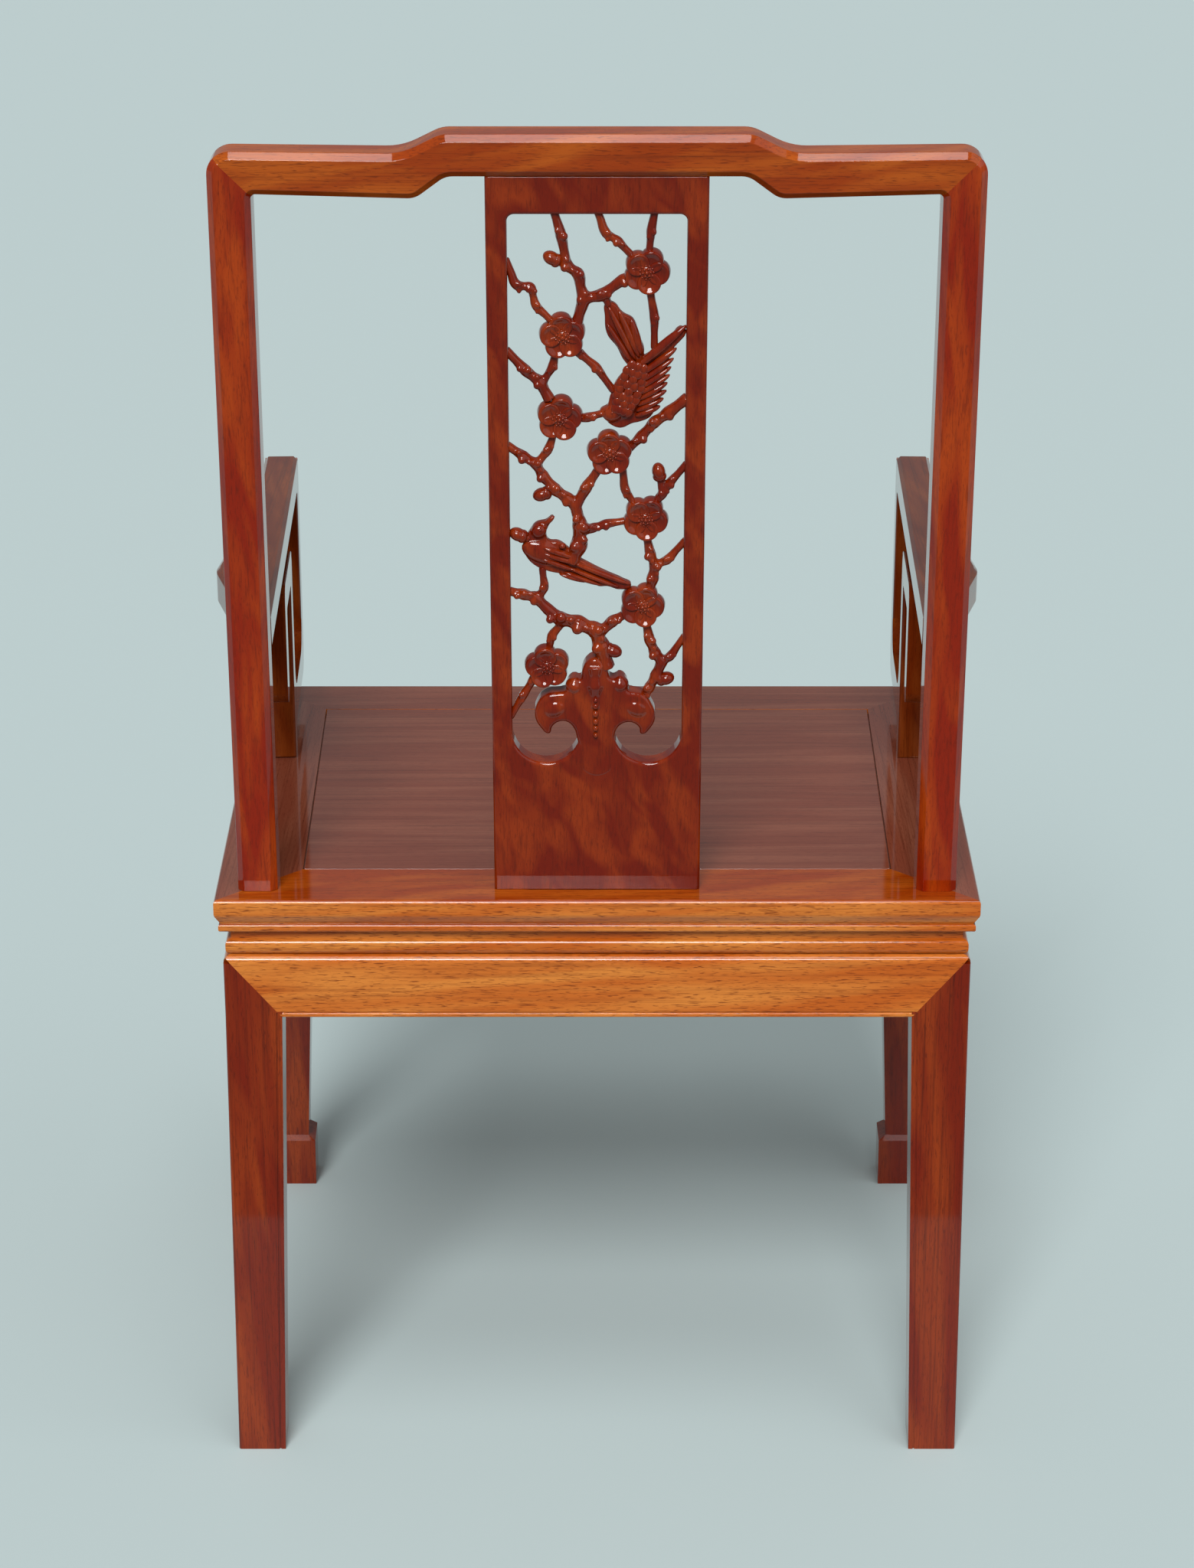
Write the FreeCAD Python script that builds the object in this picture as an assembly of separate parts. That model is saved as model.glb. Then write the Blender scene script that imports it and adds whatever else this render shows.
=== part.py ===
import FreeCAD, Part
import math
import os

# Chinese armchair in hardwood: mitred seat frame with a floating panel, waist and mitred aprons on
# four tapered legs, a raked back with a stepped crest rail and a pierced splat, and two scroll arms.
# Millimetres. X is the sitter's left, -Y the front, Z up, with the floor at zero.

# Seat frame and panel
seat_height = 460.0
seat_depth = 487.0
seat_rear_width = 558.0
seat_front_width = 585.0
frame_width = 62.0
frame_thickness = 26.0
edge_round = 3.0
edge_face_height = 12.0
edge_draw_in = 4.5
lip_height = 6.0
lip_proud = 1.8
panel_thickness = 12.0
panel_gap = 0.8
tongue_length = 8.0
tongue_thickness = 6.0
tongue_depth = 5.0
batten_width = 32.0
batten_thickness = 17.0
batten_dovetail = 4.0
batten_spacing = 190.0

# Waist and apron
waist_inset = 11.0
waist_height = 20.0
waist_thickness = 12.0
waist_bead_height = 12.0
waist_bead_proud = 4.0
waist_bead_round = 5.0
apron_height = 49.0
apron_thickness = 20.0
apron_top_round = 6.0
quirk_width = 1.2
quirk_depth = 1.0
bead_width = 3.4

# Legs
leg_inset = 5.0
leg_inset_floor = 2.0
leg_width = 42.0
leg_width_floor = 36.0
leg_edge_round = 2.0
front_ankle_width = 31.0
front_foot_width = 37.0
front_foot_height = 46.0
front_foot_ledge = 3.0

# Back: stiles and crest rail, all in one raked plane
stile_rear_inset = 18.0
stile_side_inset = 16.25
stile_draw_in = 3.0
stile_width = 29.0
stile_depth = 30.0
stile_chamfer = 4.5
rake_degrees = 4.95
back_rise = 547.0
crest_end_thickness = 29.0
crest_step = 11.5
crest_dip = 1.5
crest_under_dip = 3.0
crest_centre_thickness = 28.5
crest_step_outer = 130.0
crest_step_inner = 103.5
crest_under_outer = 121.5
crest_under_inner = 101.0
crest_rise_round = 45.0
crest_shoulder_round = 22.0
crest_under_round = 15.0
crest_corner_round = 16.0
crest_inner_round = 3.0

# Splat and its opening
splat_width = 150.0
splat_thickness = 14.0
splat_recess = 4.0
splat_chamfer = 1.5
splat_side_width = 14.5
splat_foot_height = 101.3
splat_head_height = 26.1
opening_corner_round = 5.0
stem_half_share = 0.205
carving_thickness = 11.0
carving_recess = 1.5
trunk_width = 8.5
bough_width = 6.8
twig_width = 5.2
flower_radius = 15.5
petal_sides = 8
petal_count = 5
petal_share = 0.42
knot_share = 0.62
knot_sides = 6
twig_taper_share = 0.85

# Arms
arm_rise = 209.0
arm_rail_thickness = 27.0
arm_side_inset = 41.6
arm_front_inset = 13.0
arm_front_width = 27.0
arm_front_round = 8.0
arm_swell_start = 330.0
arm_swell_peak = 146.0
arm_swell_width = 47.0
arm_swell_round = 60.0
arm_swell_end = 98.0
arm_swell_end_width = 36.0
arm_swell_end_round = 30.0
arm_inner_round = 8.0
arm_chamfer = 3.0
post_depth = 26.0
lower_rail_rise = 24.0
lower_rail_thickness = 25.0
lower_front_round = 24.0
lower_inner_round = 24.0
stem_rear = 304.0
stem_depth = 24.0
stem_foot_round = 12.0
hook_rear = 215.0
hook_clearance = 11.0
hook_drop_share = 0.56
hook_thickness = 24.0
hook_outer_round = 14.0
hook_inner_round = 5.0
hook_end_round = 11.0

# Joints
fit_gap = 0.2
seat_tenon_depth = 12.0
leg_tenon_depth = 11.0
leg_tenon_size = 20.0
post_tenon_share = 0.62
arm_tenon_depth = 14.0
crest_tenon_depth = 16.0
crest_tenon_size = 12.0
splat_tenon_depth = 9.0
batten_tenon_depth = 9.0
batten_tenon_thickness = 7.0
overrun = 20.0
touching = 1e-6
along_share = 0.9

# Worked out from the sizes above
rear_half = seat_rear_width / 2
front_half = seat_front_width / 2
flare = (front_half - rear_half) / seat_depth
frame_bottom = seat_height - frame_thickness
waist_bottom = frame_bottom - waist_height
apron_bottom = waist_bottom - apron_height
rake = math.radians(rake_degrees)
crest_end_height = seat_height + back_rise
crest_top = crest_end_height + crest_step
crest_underside = crest_top - crest_centre_thickness
stile_spread_seat = seat_rear_width - stile_side_inset * 2
stile_spread_top = stile_spread_seat - stile_draw_in * 2
opening_width = splat_width - splat_side_width * 2
opening_bottom = seat_height + splat_foot_height
opening_top = crest_underside - splat_head_height
arm_height = seat_height + arm_rise
arm_under = arm_height - arm_rail_thickness
arm_front = seat_depth - arm_front_inset
arm_gap_front = (rear_half + flare * arm_front - arm_side_inset) * 2
lower_rail_bottom = seat_height + lower_rail_rise
hook_top = arm_under - hook_clearance
hook_end = hook_top - (hook_top - seat_height) * hook_drop_share
LEFT, RIGHT = 1, -1
REAR, FRONT = "rear", "front"


def lean_at(height):
    """How far the back's rear face has leaned rearward at a height."""
    return (height - seat_height) * math.tan(rake)


crest_reach = lean_at(crest_top - stile_chamfer) - stile_rear_inset
seat_rear_y = (seat_depth - crest_reach) / 2
stile_rear_y = seat_rear_y - stile_rear_inset
arm_rear = stile_rear_inset + stile_depth / 2 - lean_at(arm_height)
arm_joint = stile_rear_inset + stile_depth / math.cos(rake) - lean_at(arm_height)


def vec(x, y, z):
    return FreeCAD.Vector(x, y, z)


def front_view(y):
    """Places (x, z) points in an upright plane that faces the front."""
    return lambda x, z: vec(x, y, z)


def side_view(x):
    """Places (forward, z) points in an upright plane; forward is counted from the seat's rear edge."""
    return lambda forward, z: vec(x, seat_rear_y - forward, z)


def plan_view(z):
    """Places (x, forward) points in a level plane."""
    return lambda x, forward: vec(x, seat_rear_y - forward, z)


def corner_turn(points, i):
    """Directions back, ahead and inward from a corner, and half the angle between its runs."""
    back = (points[i - 1] - points[i]).normalize()
    ahead = (points[(i + 1) % len(points)] - points[i]).normalize()
    inward = (back + ahead).normalize()
    return back, ahead, inward, math.acos(max(-1, min(1, back.dot(inward))))


def fitted_reaches(points, radii):
    """How far each corner's arc reaches along its two runs, eased where two arcs would pass each other."""
    reaches = [r / math.tan(corner_turn(points, i)[3]) if r else 0 for i, r in enumerate(radii)]
    room = []
    for i, reach in enumerate(reaches):
        after = (i + 1) % len(points)
        both = reach + reaches[after]
        room.append(min(1, points[i].distanceToPoint(points[after]) / both) if both else 1)
    return [reach * min(room[i - 1], room[i]) for i, reach in enumerate(reaches)]


def rounded_wire(corners, place):
    """Closed wire through corners (a, b) or (a, b, radius), each radius giving a tangent arc."""
    points = [place(c[0], c[1]) for c in corners]
    reaches = fitted_reaches(points, [c[2] if len(c) > 2 else 0 for c in corners])
    runs = []
    for i, point in enumerate(points):
        if not reaches[i]:
            runs.append((point, None, point))
            continue
        back, ahead, inward, half_angle = corner_turn(points, i)
        reach = reaches[i]
        middle = point + inward * reach * (1 - math.sin(half_angle)) / math.cos(half_angle)
        runs.append((point + back * reach, middle, point + ahead * reach))
    edges = []
    for i, (start, middle, end) in enumerate(runs):
        if middle:
            edges.append(Part.Arc(start, middle, end).toShape())
        following = runs[(i + 1) % len(runs)][0]
        if end.distanceToPoint(following) > touching:
            edges.append(Part.LineSegment(end, following).toShape())
    return Part.Wire(edges)


def slab(corners, place, sweep):
    """Solid from a rounded outline swept along a vector."""
    return Part.Face(rounded_wire(corners, place)).extrude(sweep)


def box(low, high):
    """Upright block between two corners given as (x, forward, z)."""
    x0, x1 = sorted((low[0], high[0]))
    f0, f1 = sorted((low[1], high[1]))
    z0, z1 = sorted((low[2], high[2]))
    return Part.makeBox(x1 - x0, f1 - f0, z1 - z0, vec(x0, seat_rear_y - f1, z0))


def grown_box(low, high, gap):
    """The block with a gap added on every side, for the mortise of a tenon."""
    lows = [min(a, b) - gap for a, b in zip(low, high)]
    highs = [max(a, b) + gap for a, b in zip(low, high)]
    return box(lows, highs)


def planar_block(lower, upper):
    """Solid between two rings of points; each of its sides is a flat face."""
    count = len(lower)
    rings = [lower, upper]
    for i in range(count):
        after = (i + 1) % count
        rings.append([lower[i], lower[after], upper[after], upper[i]])
    solid = Part.Solid(Part.makeShell([Part.Face(Part.makePolygon(r + r[:1])) for r in rings]))
    if solid.Volume < 0:
        solid.reverse()
    return solid


def mirrored(shape):
    """The same piece for the other side of the chair."""
    return shape.mirror(vec(0, 0, 0), vec(1, 0, 0))


def edges_across(shape, across, wanted):
    """The edges that don't run along the direction across and whose middle is wanted."""
    chosen = []
    for edge in shape.Edges:
        middle = edge.valueAt((edge.FirstParameter + edge.LastParameter) / 2)
        heading = edge.tangentAt((edge.FirstParameter + edge.LastParameter) / 2)
        if abs(heading.dot(across)) < along_share and wanted(middle):
            chosen.append(edge)
    return chosen


def bevel_edges(shape, size, across, wanted):
    return shape.makeChamfer(size, edges_across(shape, across, wanted))


def save(shape, name):
    solid = shape.removeSplitter()
    if solid.ShapeType == "Compound" and len(solid.Solids) == 1:
        solid = solid.Solids[0]
    print(name, "solids", len(solid.Solids), "valid", solid.isValid(), "volume", round(solid.Volume))
    solid.exportStep("parts/" + name + ".step")


# Plan of the seat: half widths, corners and rings at an inset from the frame's outer edge

def half_width(forward, inset):
    """Half the seat's width at a place forward of the rear edge, less an inset square to the side."""
    return rear_half + flare * forward - inset * math.hypot(1, flare)


def plan_corner(side, end, end_inset, side_inset):
    """Corner of the plan, at one inset from the rear or front edge and another from the side."""
    forward = end_inset if end == REAR else seat_depth - end_inset
    return side * half_width(forward, side_inset), forward


def ring(inset):
    """The four corners of the seat's outline at an inset, from rear left to front left."""
    return [plan_corner(side, end, inset, inset)
            for side, end in ((LEFT, REAR), (RIGHT, REAR), (RIGHT, FRONT), (LEFT, FRONT))]


def mitre_block(index, outer, inner, low, high):
    """Upright block over one side of the seat between two insets, with mitred ends."""
    out, inn = ring(outer), ring(inner)
    following = (index + 1) % len(out)
    corners = [out[index], out[following], inn[following], inn[index]]
    return slab(corners, plan_view(low), vec(0, 0, high - low))


def along_side(index, profile):
    """Sweeps a wire profile of (inset, z) corners past both ends of one side of the seat."""
    corners = ring(0)
    start = plan_view(0)(*corners[index])
    end = plan_view(0)(*corners[(index + 1) % len(corners)])
    course = (end - start).normalize()
    inward = vec(0, 0, 1).cross(course)
    middle = vec(0, seat_rear_y - seat_depth / 2, 0)
    if inward.dot(middle - start) < 0:
        inward = inward * -1
    first = start - course * overrun
    wire = rounded_wire(profile, lambda inset, z: first + inward * inset + vec(0, 0, z))
    return Part.Face(wire).extrude(course * (start.distanceToPoint(end) + overrun * 2))


SIDES = ("rear", "right", "front", "left")


# Seat frame, panel and battens

def frame_profile():
    """Section of a frame rail: moulded edge outside, groove for the panel's tongue inside."""
    face_bottom = seat_height - edge_face_height
    lip_top = frame_bottom + lip_height
    groove_top = seat_height - tongue_depth + fit_gap
    groove_bottom = seat_height - tongue_depth - tongue_thickness - fit_gap
    groove_end = frame_width - tongue_length - fit_gap
    return [
        (0, seat_height, edge_round),
        (0, face_bottom, edge_face_height / 2),
        (edge_draw_in, lip_top),
        (edge_draw_in - lip_proud, lip_top, lip_height / 3),
        (edge_draw_in - lip_proud, frame_bottom, lip_height / 3),
        (frame_width, frame_bottom),
        (frame_width, groove_bottom),
        (groove_end, groove_bottom),
        (groove_end, groove_top),
        (frame_width, groove_top),
        (frame_width, seat_height),
    ]


def frame_rail(index):
    swept = along_side(index, frame_profile())
    return swept.common(mitre_block(index, 0, frame_width, frame_bottom, seat_height))


def ring_block(inset, low, high):
    return slab(ring(inset), plan_view(low), vec(0, 0, high - low))


def batten_solid(side):
    """Dovetailed batten under the panel, with a tenon in the front and rear rails."""
    centre = side * batten_spacing / 2
    top = seat_height - panel_thickness
    half = batten_width / 2
    neck = half - batten_dovetail
    start = frame_width
    end = seat_depth - frame_width
    outline = [(centre - half, top - batten_thickness), (centre + half, top - batten_thickness),
               (centre + half, top), (centre + neck - batten_dovetail / 2, top),
               (centre + neck, top + batten_dovetail), (centre - neck, top + batten_dovetail),
               (centre - neck + batten_dovetail / 2, top), (centre - half, top)]
    bar = slab(outline, front_view(seat_rear_y - start), vec(0, start - end, 0))
    for low, high in batten_tenons(side):
        bar = bar.fuse(box(low, high))
    return bar


def batten_tenons(side):
    """Corners of the tenons at both ends of a batten."""
    centre = side * batten_spacing / 2
    low_z = frame_bottom + (batten_thickness - batten_tenon_thickness) / 4
    high_z = low_z + batten_tenon_thickness
    quarter = batten_width / 4
    ends = ((frame_width - batten_tenon_depth, frame_width),
            (seat_depth - frame_width, seat_depth - frame_width + batten_tenon_depth))
    return [((centre - quarter, a, low_z), (centre + quarter, b, high_z)) for a, b in ends]


def dovetail_slot(side):
    """The batten's dovetail with a little room round it, for cutting the panel."""
    centre = side * batten_spacing / 2
    top = seat_height - panel_thickness
    neck = batten_width / 2 - batten_dovetail
    throat = neck - batten_dovetail / 2 + fit_gap
    mouth = neck + fit_gap
    crown = top + batten_dovetail + fit_gap
    outline = [(centre - throat, top), (centre + throat, top),
               (centre + mouth, crown), (centre - mouth, crown)]
    return slab(outline, front_view(seat_rear_y), vec(0, -seat_depth, 0))


def seat_panel_solid():
    board = ring_block(frame_width + panel_gap, seat_height - panel_thickness, seat_height)
    tongue_top = seat_height - tongue_depth
    board = board.fuse(ring_block(frame_width - tongue_length, tongue_top - tongue_thickness, tongue_top))
    for side in (LEFT, RIGHT):
        board = board.cut(dovetail_slot(side))
    return board


# Waist and aprons

def waist_solid(index):
    """Strip under the frame: a flat drawn-in part over a round bead."""
    bead_top = waist_bottom + waist_bead_height
    inner = waist_inset + waist_thickness
    profile = [(waist_inset, frame_bottom), (waist_inset, bead_top),
               (waist_inset - waist_bead_proud, bead_top, waist_bead_round),
               (waist_inset - waist_bead_proud, waist_bottom, waist_bead_round),
               (inner, waist_bottom), (inner, frame_bottom)]
    swept = along_side(index, profile)
    return swept.common(mitre_block(index, waist_inset - waist_bead_proud, inner, waist_bottom, frame_bottom))


def leg_insets(height, end):
    """Outer and inner inset of a leg's faces at a height; the leg tapers below the apron."""
    share = 1 - min(height, apron_bottom) / apron_bottom
    outer = leg_inset + (leg_inset_floor - leg_inset) * share
    if end == REAR:
        width = leg_width + (leg_width_floor - leg_width) * share
    else:
        ankle_share = (apron_bottom - min(height, apron_bottom)) / (apron_bottom - front_foot_height)
        width = leg_width + (front_ankle_width - leg_width) * ankle_share
    return outer, outer + width


def apron_solid(index):
    """Apron board: round top edge, quirk and bead along the bottom, and mitred shoulders."""
    quirk_top = apron_bottom + bead_width + quirk_width
    inner = leg_inset + apron_thickness
    profile = [(leg_inset, waist_bottom, apron_top_round), (leg_inset, quirk_top),
               (leg_inset + quirk_depth, quirk_top), (leg_inset + quirk_depth, apron_bottom + bead_width),
               (leg_inset, apron_bottom + bead_width, bead_width / 3),
               (leg_inset, apron_bottom, bead_width / 3), (inner, apron_bottom), (inner, waist_bottom)]
    board = along_side(index, profile)
    board = board.common(mitre_block(index, leg_inset, inner, apron_bottom, waist_bottom))
    return board.common(shoulder_block(index))


def side_ends(index):
    """The two (side, end) corners that one side of the seat runs between."""
    order = ((LEFT, REAR), (RIGHT, REAR), (RIGHT, FRONT), (LEFT, FRONT))
    return order[index], order[(index + 1) % len(order)]


def shoulder_block(index):
    """Block whose ends slope from the leg's outer corner at the top to its inner edge at the bottom."""
    top, bottom = [], []
    for side, end in side_ends(index):
        inner = leg_insets(apron_bottom, end)[1]
        top.append(plan_corner(side, end, leg_inset, leg_inset))
        if index in (0, 2):
            bottom.append(plan_corner(side, end, leg_inset, inner))
        else:
            bottom.append(plan_corner(side, end, inner, leg_inset))
    points = [plan_view(waist_bottom)(*top[0]), plan_view(waist_bottom)(*top[1]),
              plan_view(apron_bottom)(*bottom[1]), plan_view(apron_bottom)(*bottom[0])]
    course = (points[1] - points[0]).normalize()
    square = vec(-course.y, course.x, 0)
    start = [p - square * apron_thickness * 2 for p in points]
    face = Part.Face(Part.makePolygon(start + start[:1]))
    return face.extrude(square * apron_thickness * 4)


# Legs

def leg_section(side, end, outer, inner, height):
    corners = [plan_corner(side, end, a, b)
               for a, b in ((outer, outer), (outer, inner), (inner, inner), (inner, outer))]
    return [plan_view(height)(*c) for c in corners]


def leg_stage(side, end, low, low_insets, high, high_insets):
    """Tapered length of leg between two heights."""
    return planar_block(leg_section(side, end, *low_insets, low), leg_section(side, end, *high_insets, high))


def leg_solid(side, end, aprons):
    top_insets = leg_insets(waist_bottom, end)
    leg = leg_stage(side, end, apron_bottom, top_insets, waist_bottom, top_insets)
    if end == REAR:
        leg = leg.fuse(leg_stage(side, end, 0, leg_insets(0, end), apron_bottom, top_insets))
    else:
        outer_floor = leg_inset_floor
        foot_insets = (outer_floor, outer_floor + front_foot_width)
        ledge = front_foot_height - front_foot_ledge
        outer_ankle, inner_ankle = leg_insets(front_foot_height, end)
        leg = leg.fuse(leg_stage(side, end, front_foot_height, (outer_ankle, inner_ankle),
                                 apron_bottom, top_insets))
        outer_ledge = leg_insets(ledge, end)[0]
        leg = leg.fuse(leg_stage(side, end, ledge, (outer_ledge, outer_ledge + front_foot_width),
                                 front_foot_height, (outer_ankle, inner_ankle)))
        leg = leg.fuse(leg_stage(side, end, 0, foot_insets, ledge,
                                 (outer_ledge, outer_ledge + front_foot_width)))
    leg = leg.removeSplitter()
    corner = edges_across(leg, vec(0, 0, 0), lambda p: is_outer_edge(p, side, end))
    leg = leg.makeFillet(leg_edge_round, corner)
    for apron in aprons:
        leg = leg.cut(apron)
    leg = leg.fuse(box(*leg_tenon(side, end)))
    for tool in quirk_tools(side, end):
        leg = leg.cut(tool)
    return leg


def is_outer_edge(point, side, end):
    """True on the long edge at the leg's outer corner."""
    forward = seat_rear_y - point.y
    outer = leg_insets(point.z, end)[0]
    x, corner_forward = plan_corner(side, end, outer, outer)
    near = math.hypot(point.x - x, forward - corner_forward) < quirk_width
    return near and fit_gap < point.z < waist_bottom - fit_gap


def leg_tenon(side, end):
    """Corners of the tenon that stands on the leg's core and enters the frame from below."""
    toward = 1 if end == REAR else -1
    inset = leg_inset + apron_thickness + fit_gap
    x, forward = plan_corner(side, end, inset, inset)
    high_z = frame_bottom + leg_tenon_depth
    return ((x, forward, waist_bottom),
            (x - side * leg_tenon_size, forward + toward * leg_tenon_size, high_z))


def quirk_tools(side, end):
    """Thin wedges that cut the bead's quirk down the inner edge of both outer faces."""
    tools = []
    low_z = front_foot_height if end == FRONT else 0
    for turned in (False, True):
        rings = []
        for height in (low_z, apron_bottom + bead_width):
            outer, inner = leg_insets(height, end)
            near = inner - bead_width - quirk_width
            far = inner - bead_width
            insets = ((outer - quirk_depth, near), (outer - quirk_depth, far),
                      (outer + quirk_depth, far), (outer + quirk_depth, near))
            if turned:
                insets = [(b, a) for a, b in insets]
            rings.append([plan_view(height)(*plan_corner(side, end, a, b)) for a, b in insets])
        tools.append(planar_block(*rings))
    return tools


# Back

def back_view(x, height):
    """Places (x, height) points on the raked plane of the back's rear face."""
    return vec(x, stile_rear_y + lean_at(height), height)


def back_slab(corners, near, far):
    """Prism square to the raked back, between two depths in front of its rear face."""
    ahead = vec(0, -math.cos(rake), math.sin(rake))
    prism = slab(corners, back_view, ahead * (far - near))
    prism.translate(ahead * near)
    return prism


def stile_outer(height):
    """Half the spread over the stiles at a height."""
    share = (height - seat_height) / (crest_end_height - seat_height)
    return (stile_spread_seat + (stile_spread_top - stile_spread_seat) * share) / 2


def arch_outline():
    """Front outline of the stiles and crest rail together, running on below the seat."""
    top, under = crest_end_height, crest_end_height - crest_end_thickness
    foot = seat_height - overrun
    half = [(stile_outer(foot), foot),
            (stile_outer(top), top, crest_corner_round),
            (crest_step_outer, top - crest_dip, crest_rise_round),
            (crest_step_inner, crest_top, crest_shoulder_round)]
    inside = [(crest_under_inner, crest_underside, crest_under_round),
              (crest_under_outer, under - crest_under_dip, crest_under_round),
              (stile_outer(under) - stile_width, under, crest_inner_round),
              (stile_outer(foot) - stile_width, foot)]
    left_outside = [(-c[0],) + tuple(c[1:]) for c in reversed(half)]
    left_inside = [(-c[0],) + tuple(c[1:]) for c in reversed(inside)]
    return half + left_outside + left_inside + inside


def back_arch():
    """Stiles and crest rail as one rounded arch standing on the seat, before the mitres divide it."""
    arch = back_slab(arch_outline(), 0, stile_depth)
    ahead = vec(0, -math.cos(rake), math.sin(rake))
    arch = bevel_edges(arch, stile_chamfer, ahead, lambda p: p.z > seat_height - overrun / 2)
    return arch.cut(box((-rear_half, 0, 0), (rear_half, stile_depth * 3, seat_height)))


def crest_solid(arch):
    """The crest rail between its mitres, with its mortises."""
    rail = arch.common(back_slab(crest_zone(), -overrun, stile_depth + overrun))
    for tenon in (crest_tenon(LEFT, fit_gap), crest_tenon(RIGHT, fit_gap), splat_head(fit_gap)):
        rail = rail.cut(tenon)
    return rail


def stile_solid(arch):
    """The left stile up to its mitre, with its tenons and the arm's mortise."""
    stiles = arch.cut(back_slab(crest_zone(), -overrun, stile_depth + overrun))
    stile = [s for s in stiles.Solids if s.CenterOfMass.x > 0][0]
    return mortised(stile.fuse([box(*stile_tenon(LEFT)), crest_tenon(LEFT, 0)]), [arm_rail_tenon()])


def crest_zone():
    """Front outline of what lies above the two mitres."""
    top, under = crest_end_height, crest_end_height - crest_end_thickness
    inner = stile_outer(under) - stile_width
    outer = stile_outer(top)
    slope = (top - under) / (outer - inner)
    reach, past = overrun * 2, overrun / 2
    half = [(inner - past, under - past * slope), (outer + reach, top + reach * slope),
            (outer + reach, crest_top + reach * 2)]
    return half + [(-x, z) for x, z in reversed(half)]


def crest_tenon(side, gap):
    """The tenon that rises from the stile into the crest rail, grown by a gap for its mortise."""
    middle_x = side * (stile_outer(crest_end_height) - stile_width / 2 - crest_tenon_size / 4)
    low_z = crest_end_height - crest_end_thickness - crest_tenon_depth / 2
    high_z = low_z + crest_tenon_depth + crest_tenon_size / 4
    half = crest_tenon_size / 2
    return crest_block(middle_x, half, low_z, high_z, stile_depth / 2 - half, stile_depth / 2 + half, gap)


def crest_block(middle_x, half, low_z, high_z, near, far, gap):
    """Block square to the crest's slope, grown by a gap on every side."""
    half += gap
    corners = [(middle_x - half, low_z - gap), (middle_x + half, low_z - gap),
               (middle_x + half, high_z + gap), (middle_x - half, high_z + gap)]
    return back_slab(corners, near - gap, far + gap)


def stile_tenon(side):
    """Corners of the tenon under a stile."""
    middle_x = side * (stile_outer(seat_height) - stile_width / 2)
    middle_forward = stile_rear_inset + stile_depth / 2
    half_x = stile_width * post_tenon_share / 2
    half_f = stile_depth * post_tenon_share / 2
    return ((middle_x - half_x, middle_forward - half_f, seat_height - seat_tenon_depth),
            (middle_x + half_x, middle_forward + half_f, seat_height))


# Splat

def opening_place(across, up):
    """Turns shares of the splat's opening into x and z; across is -1 to 1, towards the sitter's right."""
    return -across * opening_width / 2, opening_bottom + up * (opening_top - opening_bottom)


def opening_outline():
    """Front outline of the opening: square at the top, two round bays at the bottom."""
    half = opening_width / 2
    stem = half * stem_half_share
    bay = (half - stem) / 2
    shoulder = opening_bottom + bay * 2
    top = opening_corner_round
    right = [(half, opening_top, top), (half, opening_bottom, bay), (stem, opening_bottom, bay),
             (stem, shoulder)]
    left = [(-x[0],) + tuple(x[1:]) for x in reversed(right)]
    return right + left


# Plum branches as (across, up) shares of the opening, from the thick end to the thin end
trunk_shares = [
    ((-0.3, 0.38), (-0.21, 0.41), (-0.195, 0.446), (-0.246, 0.482)),
    ((0.115, 0.18), (0.045, 0.222), (-0.018, 0.25), (-0.215, 0.264), (-0.438, 0.273), (-0.571, 0.29)),
]
bough_shares = [
    ((-0.246, 0.482), (-0.334, 0.495), (-0.483, 0.513), (-0.622, 0.538), (-0.7, 0.559), (-0.84, 0.573),
     (-1.03, 0.593)),
    ((-0.246, 0.482), (-0.123, 0.516), (0.035, 0.554)),
    ((-0.571, 0.29), (-0.713, 0.312), (-0.855, 0.318), (-1.04, 0.325)),
    ((-0.24, 0.8), (-0.154, 0.852), (-0.213, 0.895), (-0.332, 0.91), (-0.399, 0.961), (-0.51, 1.02)),
    ((-0.154, 0.852), (0.051, 0.859), (0.29, 0.885)),
    ((-0.538, 0.675), (-0.649, 0.706), (-0.803, 0.726), (-1.03, 0.763)),
    ((0.027, 0.245), (0.179, 0.267), (0.36, 0.284)),
    ((0.764, 0.191), (0.693, 0.163), (0.613, 0.14), (0.52, 0.12)),
    ((0.764, 0.191), (0.682, 0.207), (0.618, 0.232), (0.554, 0.28)),
    ((0.605, 0.325), (0.648, 0.349), (0.67, 0.372), (0.62, 0.393), (0.556, 0.439)),
    ((1.03, 0.678), (0.808, 0.651), (0.652, 0.634), (0.505, 0.609), (0.35, 0.585)),
]
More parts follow.
